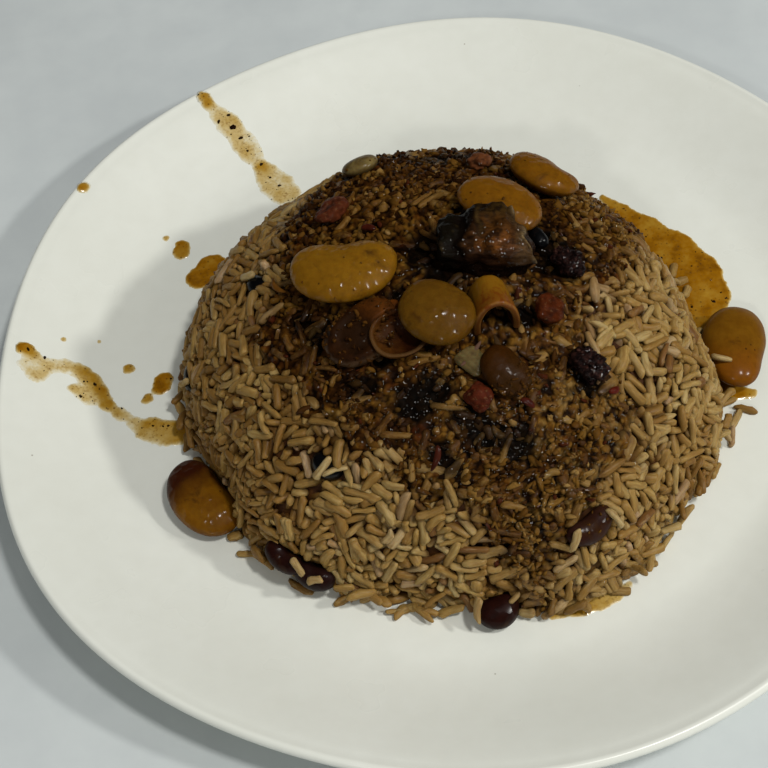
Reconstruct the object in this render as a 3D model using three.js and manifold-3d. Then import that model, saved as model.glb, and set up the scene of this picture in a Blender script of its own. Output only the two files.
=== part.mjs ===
// A plate of rice and beans: a hand-thrown coupe plate with a gently five-lobed outline, a domed heap of rice turned out on it,
// and butter beans, kidney beans, a chunk of meat and cut vegetables lying on and in the heap.
// Millimetres, +Z up, the plate stands on z = 0 and its outline is centred on the origin.
import * as THREE from "three";
import { mergeVertices } from "three/addons/utils/BufferGeometryUtils.js";
import Module from "manifold-3d";

const wasm = await Module();
wasm.setup();

// ---------------------------------------------------------------- named sizes

const GAP = 0.35; // clearance between touching pieces
const DEG = Math.PI / 180;

// The plate
const PLATE_RADIUS = 140.04; // mean radius of the outline, a 28 cm dinner plate
const PLATE_CENTRE = [-1.016, -0.056]; // the outline's mean centre, which puts its box on the origin
const PLATE_LOBES = { 3: [0.09, -0.26], 5: [0.96, -0.25], 6: [-0.37, 0.21] }; // [cos, sin] of each wave of the outline
const PLATE_FLOOR_Z = 6; // top of the flat middle
const PLATE_FLOOR_RADIUS = 99; // where the flat middle starts to rise
const PLATE_RIM_Z = 20; // top of the rim
const PLATE_RIM_TILT = 0.5; // the rim stands this much higher on one side and lower on the other
const PLATE_RIM_TILT_AT = -135 * DEG; // the direction of the high side
const PLATE_LIP = 1.8; // radius of the rounded lip
const PLATE_FOOT_RADIUS = 86; // middle of the foot ring
const PLATE_FOOT_WIDTH = 5;
const PLATE_FOOT_DEPTH = 2.2; // how far the ring stands below the middle of the underside
const PLATE_AROUND = 50; // facets round the plate

// The heap of rice
const HEAP_CENTRE = [-5.575, -10.42];
const HEAP_RADIUS = 79.885;
const HEAP_HEIGHT = 60.211;
const HEAP_BASE_Z = PLATE_FLOOR_Z + 0.3;
const HEAP_FULLNESS = 0.903; // below 1, the shoulder stands out beyond an ellipse
const HEAP_CROWN = 1.014; // above 1, the crown is a little flatter than an ellipse
// [cos, sin] of each wave of the heap's foot, from two waves to nine
const HEAP_WAVES = [
  [-0.53, -2.8],
  [-0.79, -1.02],
  [-0.18, -0.31],
  [0.76, 0.45],
  [0.1, -0.89],
  [-0.51, -0.14],
  [-0.35, 0.3],
  [-0.64, 0.08],
];
const HEAP_LUMP = 0.6; // height of the lumps that the packed grains make
const HEAP_AROUND = 36;
const HEAP_UP = 10;

// ---------------------------------------------------------------- solids

// A closed geometry as a solid body that can be cut and joined.
function solidOf(geometry) {
  const bare = geometry.index ? geometry.toNonIndexed() : geometry.clone();
  bare.deleteAttribute("normal");
  bare.deleteAttribute("uv");
  const merged = mergeVertices(bare, 1e-3);
  return new wasm.Manifold(
    new wasm.Mesh({
      numProp: 3,
      vertProperties: new Float32Array(merged.attributes.position.array),
      triVerts: new Uint32Array(merged.index.array),
    }),
  );
}

// A solid's largest body as a geometry with flat faces.
function geometryOf(solid) {
  const body = solid
    .decompose()
    .reduce((a, b) => (b.volume() > a.volume() ? b : a));
  const mesh = body.getMesh();
  const points = new Float32Array(mesh.numVert * 3);
  for (let i = 0; i < mesh.numVert; i++)
    points.set(
      mesh.vertProperties.subarray(i * mesh.numProp, i * mesh.numProp + 3),
      i * 3,
    );
  const geometry = new THREE.BufferGeometry()
    .setAttribute("position", new THREE.BufferAttribute(points, 3))
    .setIndex(new THREE.BufferAttribute(new Uint32Array(mesh.triVerts), 1));
  const faceted = geometry.toNonIndexed();
  faceted.computeVertexNormals();
  return faceted;
}

// A solid of stacked closed rings, each an array of as many points, closed by a fan at either end.
function ringsGeometry(rings, low, high) {
  const around = rings[0].length;
  const points = [];
  rings.forEach((ring) => ring.forEach((p) => points.push(...p)));
  const lowAt = points.length / 3;
  points.push(...low);
  const highAt = points.length / 3;
  points.push(...high);
  const faces = [];
  for (let i = 0; i < around; i++) {
    const j = (i + 1) % around;
    for (let r = 0; r + 1 < rings.length; r++) {
      const a = r * around + i,
        b = r * around + j,
        c = (r + 1) * around + j,
        d = (r + 1) * around + i;
      faces.push(a, b, c, a, c, d);
    }
    faces.push(lowAt, j, i);
    const last = (rings.length - 1) * around;
    faces.push(highAt, last + i, last + j);
  }
  return new THREE.BufferGeometry()
    .setAttribute("position", new THREE.Float32BufferAttribute(points, 3))
    .setIndex(faces)
    .toNonIndexed();
}

// ---------------------------------------------------------------- plate

function plateRadius(angle) {
  let r = PLATE_RADIUS;
  for (const [wave, [c, s]] of Object.entries(PLATE_LOBES))
    r += c * Math.cos(wave * angle) + s * Math.sin(wave * angle);
  return r;
}

function plateGeometry() {
  const smooth = (t) => t * t * (3 - 2 * t);
  const rings = [];
  const foot = PLATE_FOOT_WIDTH / 2;
  // Each row: how far out (a share of the way from the fixed radius to the outline), and the height.
  const rows = [];
  const fixed = (r, z) => rows.push(() => [r, z]);
  // underside, from the middle out
  fixed(PLATE_FOOT_RADIUS - foot - 1.4, PLATE_FOOT_DEPTH);
  fixed(PLATE_FOOT_RADIUS - foot, 0);
  fixed(PLATE_FOOT_RADIUS + foot, 0);
  fixed(PLATE_FOOT_RADIUS + foot + 1.6, PLATE_FOOT_DEPTH - 0.2);
  const rim = (angle) =>
    PLATE_RIM_Z + PLATE_RIM_TILT * Math.cos(angle - PLATE_RIM_TILT_AT);
  const topZ = (r, edge, angle) => {
    const t = THREE.MathUtils.clamp(
      (r - PLATE_FLOOR_RADIUS) / (edge - PLATE_LIP - PLATE_FLOOR_RADIUS),
      0,
      1,
    );
    return (
      PLATE_FLOOR_Z +
      (rim(angle) - PLATE_FLOOR_Z) * (0.35 * smooth(t) + 0.65 * t ** 1.7)
    );
  };
  for (const share of [0.3, 0.62, 0.9])
    rows.push((angle, edge) => {
      const start = PLATE_FOOT_RADIUS + foot + 1.6;
      const r = start + share * (edge - PLATE_LIP - start);
      const under = 4.1 - 0.5 * share;
      return [
        r,
        THREE.MathUtils.lerp(
          PLATE_FOOT_DEPTH,
          topZ(r, edge, angle) - under,
          Math.min(1, share * 2.2),
        ),
      ];
    });
  // the lip, a half round from below to above
  for (const turn of [-50, 5, 65])
    rows.push((angle, edge) => [
      edge - PLATE_LIP + PLATE_LIP * Math.cos(turn * DEG),
      rim(angle) - PLATE_LIP + PLATE_LIP * Math.sin(turn * DEG),
    ]);
  // upper face, from the lip inwards
  for (const share of [0.86, 0.68, 0.5, 0.33, 0.17, 0])
    rows.push((angle, edge) => {
      const r =
        PLATE_FLOOR_RADIUS + share * (edge - PLATE_LIP - PLATE_FLOOR_RADIUS);
      return [r, topZ(r, edge, angle)];
    });
  for (const row of rows) {
    const ring = [];
    for (let i = 0; i < PLATE_AROUND; i++) {
      const angle = (i / PLATE_AROUND) * 2 * Math.PI;
      const [r, z] = row(angle, plateRadius(angle));
      ring.push([
        PLATE_CENTRE[0] + r * Math.cos(angle),
        PLATE_CENTRE[1] + r * Math.sin(angle),
        z,
      ]);
    }
    rings.push(ring);
  }
  return ringsGeometry(
    rings,
    [...PLATE_CENTRE, PLATE_FOOT_DEPTH],
    [...PLATE_CENTRE, PLATE_FLOOR_Z],
  );
}

// ---------------------------------------------------------------- heap of rice

function heapWave(angle) {
  return HEAP_WAVES.reduce(
    (sum, [c, s], k) =>
      sum + c * Math.cos((k + 2) * angle) + s * Math.sin((k + 2) * angle),
    0,
  );
}

// A point of the heap's skin, by its direction round the heap and its climb from foot (0) to crown (90 degrees).
function heapPoint(angle, climb) {
  const co = Math.cos(climb),
    si = Math.sin(climb);
  const r = (HEAP_RADIUS + heapWave(angle) * co) * co ** HEAP_FULLNESS;
  const z = HEAP_HEIGHT * si ** HEAP_CROWN;
  // lumps: packed grains stand proud in clusters about 12 mm across
  const lump =
    HEAP_LUMP *
    (Math.sin(11 * angle + 4 * climb) * Math.sin(7 * climb + 2.1 * angle) +
      0.6 * Math.sin(23 * angle - 9 * climb) * co) *
    Math.min(1, climb / 0.15);
  return [
    HEAP_CENTRE[0] + (r + lump * co) * Math.cos(angle),
    HEAP_CENTRE[1] + (r + lump * co) * Math.sin(angle),
    HEAP_BASE_Z + z + lump * si * 0.6,
  ];
}

function heapGeometry() {
  const rings = [];
  for (let k = 0; k < HEAP_UP; k++) {
    const climb = (Math.PI / 2) * (k / HEAP_UP);
    const ring = [];
    for (let i = 0; i < HEAP_AROUND; i++)
      ring.push(heapPoint((i / HEAP_AROUND) * 2 * Math.PI, climb));
    rings.push(ring);
  }
  return ringsGeometry(
    rings,
    [...HEAP_CENTRE, HEAP_BASE_Z],
    heapPoint(0, Math.PI / 2),
  );
}

// ---------------------------------------------------------------- toppings

// A bean: long axis X, broad axis Y, thin axis Z. Its ends turn towards +Y by bend, and notch dents its +Y side.
function beanGeometry({
  length,
  width,
  thick,
  bend = 0,
  notch = 0,
  notchAt = 0,
  taper = 0,
  grow = 0,
  around = 16,
  along = 10,
}) {
  const g = new THREE.SphereGeometry(1, around, along).rotateZ(-Math.PI / 2);
  const p = g.attributes.position;
  for (let i = 0; i < p.count; i++) {
    const s = p.getX(i),
      y = p.getY(i),
      z = p.getZ(i);
    const ring = Math.sqrt(Math.max(0, 1 - s * s));
    const blunt = ring > 1e-6 ? ring ** -0.16 : 1; // ends blunter than an ellipsoid's
    let across = (width / 2 + grow) * y * blunt * (1 + taper * s);
    const dent =
      notch *
      Math.exp(-(((s - notchAt) / 0.36) ** 2)) *
      THREE.MathUtils.smoothstep(y, -0.35, 0.8);
    across += bend * (s * s - 0.3) - dent;
    p.setXYZ(
      i,
      (length / 2 + grow) * s,
      across,
      (thick / 2 + grow) * z * blunt * (1 + 0.5 * taper * s),
    );
  }
  return g;
}

// One half of a bean, split flat through its broad face and a little hollow there, like a shallow cup.
function splitBeanSolid(sizes) {
  const { length, width, thick, grow = 0, hollow } = sizes;
  const whole = solidOf(beanGeometry({ ...sizes, thick: thick * 2 }));
  const above = solidOf(
    new THREE.BoxGeometry(length * 2, width * 2, thick * 2).translate(
      0,
      0,
      thick + grow,
    ),
  );
  const half = whole.subtract(above);
  if (grow) return half;
  return half.subtract(
    solidOf(
      beanGeometry({
        ...sizes,
        length: length - 4,
        width: width - 4,
        thick: hollow * 2,
        around: 12,
        along: 7,
      }),
    ),
  );
}

// The empty skin half of a bean on its edges, like a short arched tunnel: closed at the back (-X), open at the front (+X),
// and a little wider there.
function archSolid({ length, width, height, wall, grow = 0 }) {
  const shell = (inset) => {
    const g = new THREE.SphereGeometry(1, 18, 12).rotateZ(-Math.PI / 2);
    const p = g.attributes.position;
    for (let i = 0; i < p.count; i++) {
      const s = p.getX(i),
        ring = Math.sqrt(Math.max(0, 1 - s * s));
      const blunt = ring > 1e-6 ? ring ** -0.55 : 1;
      const flare = 1 + 0.1 * s;
      p.setXYZ(
        i,
        (length - inset + grow) * s,
        (width / 2 - inset + grow) * p.getY(i) * blunt * flare,
        (height - inset + grow) * p.getZ(i) * blunt * flare,
      );
    }
    return solidOf(g);
  };
  const box = (x0, x1, z0, z1) =>
    solidOf(
      new THREE.BoxGeometry(x1 - x0, width * 2, z1 - z0).translate(
        (x0 + x1) / 2,
        0,
        (z0 + z1) / 2,
      ),
    );
  const outer = shell(0)
    .subtract(box(grow, length * 2, -height * 2, height * 2))
    .subtract(box(-length * 2, length * 3, -height * 2, -grow));
  if (grow) return outer;
  return outer.subtract(shell(wall));
}

// An irregular chunk: a rounded block, its corners pulled in and its faces uneven.
function chunkGeometry({
  length,
  width,
  thick,
  square = 0.55,
  rough = 0.06,
  seed = 0,
  lean = 0,
  taper = 0,
  grow = 0,
  detail = 3,
}) {
  const g = new THREE.IcosahedronGeometry(1, detail);
  const p = g.attributes.position;
  for (let i = 0; i < p.count; i++) {
    let [x, y, z] = [p.getX(i), p.getY(i), p.getZ(i)];
    const block = Math.max(Math.abs(x), Math.abs(y), Math.abs(z));
    const k = THREE.MathUtils.lerp(1, 1 / block, square);
    const bump =
      1 +
      rough *
        (Math.sin(3.1 * x + 2.3 * y + seed) * Math.cos(2.7 * z - 1.9 * x) +
          Math.sin(4.3 * y - 3.7 * z + 2 * seed) * 0.6 +
          Math.cos(5.9 * x + 4.1 * z + 3 * seed) * 0.4);
    x *= k * bump * 0.84;
    y *= k * bump * 0.84;
    z *= k * bump * 0.84;
    p.setXYZ(
      i,
      (length / 2 + grow) * x * (1 + taper * y) + lean * z,
      (width / 2 + grow) * y * (1 + 0.5 * taper * z),
      (thick / 2 + grow) * z * (1 - 0.3 * taper * x),
    );
  }
  return g;
}

// A short curved leaf of cut onion: a thin plate bent round an axis along X.
function petalGeometry({ length, width, thick, curve, grow = 0 }) {
  const g = new THREE.BoxGeometry(
    length + 2 * grow,
    width + 2 * grow,
    thick + 2 * grow,
    2,
    4,
    1,
  );
  const p = g.attributes.position;
  for (let i = 0; i < p.count; i++) {
    const [x, y, z] = [p.getX(i), p.getY(i), p.getZ(i)];
    const u = y / (width / 2);
    p.setXYZ(
      i,
      x * (1 - 0.22 * u),
      y * (1 - 0.12 * (x / length)),
      z - curve * u * u + 0.25 * curve * (x / length),
    );
  }
  return g;
}

// ---------------------------------------------------------------- what lies where
// at: the piece's centre. up: the direction its thin axis points to. heading: the plan direction of its long axis, in degrees
// anticlockwise from +X. Later pieces lie on top of earlier ones, which give way to them.

const BUTTER = "#a9772a";
const BUTTER_DARK = "#5c3a1a";
const TOMATO = "#7c2f1c";
const KIDNEY = "#2c1016";
const BLACK_BEAN = "#17131a";

const PIECES = [
  // kidney and black beans cooked in with the rice, mostly covered by it
  { name: "kidney_bean_front", shape: "bean", at: [-1.6, -89.2, 10.8], up: [0.1, -0.35, 0.93], heading: 20, length: 12, width: 9.4, thick: 8, bend: 0.9, notch: 0.6, small: true, color: KIDNEY },
  { name: "kidney_bean_front_left", shape: "bean", at: [-57.9, -68.3, 16.9], up: [-0.61, -0.76, 0.3], heading: -80, length: 12.4, width: 7.6, thick: 6.6, bend: 0.8, notch: 0.6, small: true, color: KIDNEY },
  { name: "kidney_bean_front_mid", shape: "bean", at: [-50.2, -73.6, 14.2], up: [-0.46, -0.8, 0.38], heading: -34, length: 12.2, width: 8, thick: 6.6, bend: 0.8, notch: 0.6, small: true, color: KIDNEY },
  { name: "kidney_bean_right", shape: "bean", at: [24.9, -79.9, 32], up: [0.31, -0.76, 0.57], heading: 42, length: 14, width: 8.4, thick: 6.4, bend: 1.2, notch: 0.8, small: true, color: "#3a1d28" },
  { name: "kidney_bean_left", shape: "bean", at: [-80.9, -5.2, 20.6], up: [-0.92, -0.05, 0.4], heading: 265, length: 10.6, width: 7, thick: 5.4, bend: 0.8, notch: 0.5, small: true, color: KIDNEY },
  { name: "kidney_bean_upper_left", shape: "bean", at: [-56.5, 2.4, 50.6], up: [-0.52, 0.05, 0.85], heading: -40, length: 8.6, width: 6.6, thick: 5.6, bend: 0.5, notch: 0.4, small: true, color: KIDNEY },
  { name: "black_bean_mid_left", shape: "bean", at: [-42.5, -58, 43.9], up: [-0.37, -0.56, 0.74], heading: -40, length: 9.4, width: 6.8, thick: 5.2, bend: 0.6, notch: 0.4, small: true, color: BLACK_BEAN },
  { name: "black_bean_behind_meat", shape: "bean", at: [22.8, -5.9, 64], up: [0.25, 0.04, 0.97], heading: -70, length: 6.8, width: 4.8, thick: 4.4, bend: 0.3, notch: 0.2, small: true, color: BLACK_BEAN },
  { name: "crushed_bean_right", shape: "chunk", at: [29.4, -14, 62], up: [0.33, 0, 0.95], heading: -30, length: 12.5, width: 9, thick: 5, rough: 0.16, seed: 2.2, detail: 2, color: BLACK_BEAN },
  { name: "crushed_bean_front_right", shape: "chunk", at: [29.8, -44.7, 55.9], up: [0.35, -0.33, 0.88], heading: -45, length: 12.5, width: 9, thick: 5, rough: 0.16, seed: 4.1, detail: 2, color: BLACK_BEAN },
  // cut vegetables in the gravy
  { name: "tomato_back_left", shape: "chunk", at: [-32.6, 16.9, 61], up: [-0.24, 0.27, 0.93], heading: 52, length: 13, width: 9.6, thick: 5, rough: 0.09, seed: 1.2, detail: 2, color: TOMATO },
  { name: "tomato_back_right", shape: "chunk", at: [11.8, 31.5, 57.8], up: [0.17, 0.42, 0.89], heading: 50, length: 8.6, width: 7.4, thick: 5, rough: 0.1, seed: 2.9, detail: 2, color: TOMATO },
  { name: "tomato_front", shape: "chunk", at: [-0.5, -52.7, 59.1], up: [0, -0.41, 0.91], heading: -58, length: 8.8, width: 7.4, thick: 5, rough: 0.1, seed: 5.3, detail: 2, color: "#571c14" },
  { name: "tomato_right", shape: "chunk", at: [21.8, -30.2, 63.2], up: [0.2, -0.3, 0.94], heading: 80, length: 9.6, width: 9, thick: 6, rough: 0.07, seed: 3.4, detail: 2, color: "#9a4322" },
  { name: "onion_petal", shape: "petal", at: [-0.8, -43.4, 62.9], up: [-0.1, -0.4, 0.9], heading: -52, length: 7.4, width: 6.4, thick: 1.5, curve: 0.8, color: "#8f8a5e" },
  // butter beans from the bottom of the pile up
  { name: "lima_bean_back", shape: "bean", at: [-22.9, 39.6, 54], up: [-0.21, 0.5, 0.84], heading: 24, length: 11, width: 9, thick: 5, bend: 0.6, notch: 0.4, small: true, color: "#746a3a" },
  { name: "butter_bean_gravy", shape: "bean", at: [-28.2, -30.6, 63.9], up: [-0.26, -0.3, 0.92], heading: 24, length: 22, width: 16.5, thick: 7, bend: 0.6, notch: 0.5, color: BUTTER_DARK },
  { name: "butter_bean_split", shape: "split", at: [-18.4, -34.6, 66.9], up: [-0.05, -0.3, 0.95], heading: 12, length: 16, width: 13.6, thick: 4.2, bend: 0.4, notch: 0, hollow: 2.2, color: "#6a3014" },
  { name: "butter_bean_front", shape: "bean", at: [7.5, -47.4, 61.4], up: [0.2, -0.4, 0.9], heading: -50, length: 15, width: 11.5, thick: 7, bend: 0.6, notch: 0.5, color: "#4c3a18" },
  { name: "butter_bean_behind", shape: "bean", at: [14, 5, 67.9], up: [0.14, 0.05, 0.98], heading: -38, length: 24.5, width: 17, thick: 8.4, bend: -1, notch: 0, color: BUTTER },
  { name: "butter_bean_back", shape: "bean", at: [28.8, 22.4, 58.4], up: [0.36, 0.25, 0.9], heading: -36, length: 21.5, width: 15, thick: 8, bend: 1.3, notch: 1.8, notchAt: 0.32, color: BUTTER },
  { name: "butter_bean_left", shape: "bean", at: [-31.2, -11.1, 67.4], up: [-0.1, -0.06, 0.99], heading: -9, length: 29.3, width: 20.3, thick: 9, bend: 1.6, notch: 1.9, notchAt: -0.06, color: BUTTER },
  { name: "butter_bean_middle", shape: "bean", at: [-8.2, -31.7, 69.8], up: [0.02, -0.2, 0.98], heading: -40, length: 20.6, width: 18, thick: 9, bend: 0.3, notch: 0.2, color: BUTTER },
  { name: "meat_chunk", shape: "chunk", at: [8.6, -9.4, 70.6], up: [0.05, -0.12, 0.99], heading: -10, length: 33, width: 21.5, thick: 15.5, rough: 0.07, seed: 0.6, square: 0.58, taper: -0.06, detail: 3, color: "#2b1a12" },
  { name: "bean_skin_arch", shape: "arch", at: [7.2, -34.9, 63.6], up: [0.02, 0.06, 0.99], heading: -84, length: 13, width: 12.2, height: 9.6, wall: 1.8, color: "#a8792e" },
  // butter beans that rolled off onto the plate
  { name: "butter_bean_plate_left", shape: "bean", at: [-80.2, -41.9, 11.3], up: [0.02, -0.06, 1], heading: -60, length: 27, width: 17, thick: 9.2, bend: 1.2, notch: 1.2, notchAt: -0.05, color: "#93601f" },
  { name: "butter_bean_plate_right", shape: "bean", at: [80.9, -13, 11.9], up: [0.1, 0, 0.99], heading: -104, length: 29, width: 19, thick: 9.8, bend: 1.0, notch: 0.9, notchAt: 0.3, taper: -0.08, color: "#996a22" },
];

// A bean's facets round and along it. A hollow that it presses into the heap is coarser than the bean, so it's a little roomier.
const BEAN_FACETS = { fine: [13, 9], small: [10, 7], hollow: [9, 6], smallHollow: [8, 5] };
const HOLLOW_ROOM = 0.045; // of the piece's length

const SHAPES = {
  bean: (piece, grow, hollow = false) => {
    const [around, along] =
      BEAN_FACETS[
        hollow
          ? piece.small
            ? "smallHollow"
            : "hollow"
          : piece.small
            ? "small"
            : "fine"
      ];
    const room = hollow ? HOLLOW_ROOM * piece.length : 0;
    return solidOf(
      beanGeometry({ ...piece, grow: grow + room, around, along }),
    );
  },
  split: (piece, grow, hollow = false) =>
    splitBeanSolid({
      ...piece,
      grow,
      around: hollow ? 10 : 14,
      along: hollow ? 6 : 9,
    }),
  arch: (piece, grow) => archSolid({ ...piece, grow }),
  chunk: (piece, grow, hollow = false) =>
    solidOf(
      chunkGeometry({
        ...piece,
        grow: grow + (hollow && piece.detail > 2 ? 0.9 : 0),
        detail: hollow ? Math.min(2, piece.detail) : piece.detail,
      }),
    ),
  petal: (piece, grow) => solidOf(petalGeometry({ ...piece, grow })),
};

// The matrix that lays a piece at its place.
function placeOf({ at, up, heading }) {
  const z = new THREE.Vector3(...up).normalize();
  const along = new THREE.Vector3(
    Math.cos(heading * DEG),
    Math.sin(heading * DEG),
    0,
  );
  const x = along.sub(z.clone().multiplyScalar(along.dot(z))).normalize();
  const y = new THREE.Vector3().crossVectors(z, x);
  return new THREE.Matrix4().makeBasis(x, y, z).setPosition(...at);
}

function placed(piece, grow, hollow) {
  return SHAPES[piece.shape](piece, grow, hollow).transform(
    placeOf(piece).elements,
  );
}

// ---------------------------------------------------------------- assembly

const group = new THREE.Group();

function add(name, geometry, color, roughness) {
  const mesh = new THREE.Mesh(
    geometry,
    new THREE.MeshStandardMaterial({ color, roughness, metalness: 0 }),
  );
  mesh.name = name;
  group.add(mesh);
}

const plate = plateGeometry();
plate.computeVertexNormals();
add("plate", plate, "#d6d8cd", 0.45);

let heap = solidOf(heapGeometry());
for (const piece of PIECES) heap = heap.subtract(placed(piece, GAP, true));
add("rice_mound", geometryOf(heap), "#8d7350", 0.6);

PIECES.forEach((piece, i) => {
  let solid = placed(piece, 0);
  for (const above of PIECES.slice(i + 1)) {
    const cutter = placed(above, GAP);
    if (solid.intersect(cutter).volume() > 0) solid = solid.subtract(cutter);
  }
  add(piece.name, geometryOf(solid), piece.color, 0.25);
});

export default group;
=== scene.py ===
"""The looks of the rice and beans plate: real grains over a core, glossy beans, braised meat, gravy, and the glazed plate.

Lengths in the numbers below are millimetres in the CAD frame; to_piece() turns them into metres.
"""

import math

import bpy
import numpy as np
from mathutils import Matrix, Vector


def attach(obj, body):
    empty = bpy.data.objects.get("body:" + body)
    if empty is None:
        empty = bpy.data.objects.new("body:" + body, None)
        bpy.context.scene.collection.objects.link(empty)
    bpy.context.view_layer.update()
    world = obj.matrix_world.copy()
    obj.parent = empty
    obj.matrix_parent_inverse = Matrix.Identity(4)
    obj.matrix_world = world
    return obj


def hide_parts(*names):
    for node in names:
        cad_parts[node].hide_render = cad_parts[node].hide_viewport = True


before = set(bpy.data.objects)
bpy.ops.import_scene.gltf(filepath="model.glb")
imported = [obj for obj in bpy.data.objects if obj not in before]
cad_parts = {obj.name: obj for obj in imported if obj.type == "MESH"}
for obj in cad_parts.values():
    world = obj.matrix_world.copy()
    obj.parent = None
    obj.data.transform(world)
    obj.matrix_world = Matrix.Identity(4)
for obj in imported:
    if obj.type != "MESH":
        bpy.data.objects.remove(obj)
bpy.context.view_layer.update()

MM = 0.001
DEG = math.pi / 180
SEED = 20

# ------------------------------------------------------------------ noise

_table = np.random.default_rng(SEED).permutation(4096)


def _lattice(ix, iy, iz):
    return _table[(ix + _table[(iy + _table[iz & 4095]) & 4095]) & 4095] / 4095.0


def noise(p, scale, seed=0):
    """Smooth value noise from -1 to 1 at points p (n, 3), with features about scale across."""
    q = np.asarray(p, float) / scale + np.array([17.3, 5.1, 9.7]) * (seed + 1)
    i = np.floor(q).astype(int)
    f = q - i
    f = f * f * f * (f * (f * 6 - 15) + 10)
    total = 0
    for a in (0, 1):
        wx = f[:, 0] if a else 1 - f[:, 0]
        for b in (0, 1):
            wy = f[:, 1] if b else 1 - f[:, 1]
            for c in (0, 1):
                wz = f[:, 2] if c else 1 - f[:, 2]
                total = total + wx * wy * wz * _lattice(
                    i[:, 0] + a, i[:, 1] + b, i[:, 2] + c
                )
    return total * 2 - 1


def fbm(p, scale, octaves=3, seed=0, rough=0.5):
    out, amp, norm = 0, 1.0, 0.0
    for k in range(octaves):
        out = out + amp * noise(p, scale / 2**k, seed + 7 * k)
        norm += amp
        amp *= rough
    return out / norm


def smoothstep(x, lo, hi):
    t = np.clip((np.asarray(x, float) - lo) / (hi - lo), 0, 1)
    return t * t * (3 - 2 * t)


# ------------------------------------------------------------------ meshes


def mesh_of(name, verts, faces, attrs=None, smooth=True):
    """A mesh from vertices in mm and a list of (k, 4) or (k, 3) arrays of corners."""
    me = bpy.data.meshes.new(name)
    verts = np.asarray(verts, np.float32) * MM
    faces = [np.asarray(f, np.int32) for f in faces if len(f)]
    me.vertices.add(len(verts))
    me.vertices.foreach_set("co", verts.ravel())
    corners = np.concatenate([f.ravel() for f in faces])
    totals = np.concatenate([np.full(len(f), f.shape[1], np.int32) for f in faces])
    starts = np.concatenate([[0], np.cumsum(totals)[:-1]]).astype(np.int32)
    me.loops.add(len(corners))
    me.loops.foreach_set("vertex_index", corners)
    me.polygons.add(len(totals))
    me.polygons.foreach_set("loop_start", starts)
    me.polygons.foreach_set("loop_total", totals)
    me.polygons.foreach_set("use_smooth", np.full(len(totals), smooth))
    for key, values in (attrs or {}).items():
        a = me.color_attributes.new(key, "FLOAT_COLOR", "POINT")
        a.data.foreach_set("color", np.asarray(values, np.float32).ravel())
    me.update(calc_edges=True)
    me.validate()
    return me


MADE = []


def facing_out(verts, faces):
    """The faces, turned over where they enclose a negative volume."""
    v = np.asarray(verts, float)
    volume = 0.0
    for f in faces:
        f = np.asarray(f)
        for i in range(1, f.shape[1] - 1 if len(f) else 0):
            volume += np.einsum("ij,ij->i", v[f[:, 0]], np.cross(v[f[:, i]], v[f[:, i + 1]])).sum()
    return [np.asarray(f)[:, ::-1] for f in faces] if volume < 0 else faces


def to_piece(name, verts, faces, material, replaces=(), attrs=None, smooth=True):
    me = mesh_of(name, verts, facing_out(verts, faces), attrs, smooth)
    me.materials.append(material)
    o = bpy.data.objects.new(name, me)
    bpy.context.scene.collection.objects.link(o)
    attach(o, "root")
    if replaces:
        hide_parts(*replaces)
    tris = sum(len(f) * (np.asarray(f).shape[1] - 2) for f in faces if len(f))
    MADE.append((name, tris))
    return o


def grid_faces(nu, nv, wrap_u=True, base=0):
    """Quads of a grid of nv rows of nu points, closed round u."""
    i = np.arange(nu if wrap_u else nu - 1)
    j = np.arange(nv - 1)
    I, J = np.meshgrid(i, j)
    I, J = I.ravel(), J.ravel()
    K = (I + 1) % nu
    return np.stack([J * nu + I, J * nu + K, (J + 1) * nu + K, (J + 1) * nu + I], 1) + base


def cap_faces(nu, ring_start, tip, flip=False):
    i = np.arange(nu)
    k = (i + 1) % nu
    f = np.stack([np.full(nu, tip), ring_start + i, ring_start + k], 1)
    return f[:, ::-1] if flip else f


def ball(around, along):
    """Unit sphere with its poles on the X axis: points, quads and end triangles, facing out."""
    s = -np.cos(np.pi * np.arange(1, along) / along)
    a = 2 * np.pi * np.arange(around) / around
    S, A = np.meshgrid(s, a, indexing="ij")
    r = np.sqrt(1 - S**2)
    pts = np.stack([S, r * np.cos(A), r * np.sin(A)], -1).reshape(-1, 3)
    tips = np.array([[-1.0, 0, 0], [1.0, 0, 0]])
    pts = np.concatenate([pts, tips])
    quads = grid_faces(around, along - 1)[:, ::-1]
    n = around * (along - 1)
    low = cap_faces(around, 0, n, flip=False)
    high = cap_faces(around, around * (along - 2), n + 1, flip=True)
    return pts, quads, np.concatenate([low, high])


# ------------------------------------------------------------------ materials


def cells(p, size, seed):
    """Cellular noise: distance to the nearest of the scattered points, in cells, and that cell's own random number."""
    q = np.asarray(p, float) / size
    base = np.floor(q).astype(np.int64)
    best = np.full(len(q), 9.0)
    which = np.zeros(len(q))
    for dx in (-1, 0, 1):
        for dy in (-1, 0, 1):
            for dz in (-1, 0, 1):
                c = base + [dx, dy, dz]
                h = (c[:, 0] * 73856093 ^ c[:, 1] * 19349663 ^ c[:, 2] * 83492791 ^ (seed + 7) * 2654435761) & 0x7FFFFFFF
                spot = []
                for _ in range(4):
                    h = (h * 1103515245 + 12345) & 0x7FFFFFFF
                    spot.append(((h >> 8) & 0xFFFF) / 65535.0)
                d = np.linalg.norm(c + np.stack(spot[:3], 1) - q, axis=1)
                near = d < best
                best = np.where(near, d, best)
                which = np.where(near, spot[3], which)
    return best, which


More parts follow.
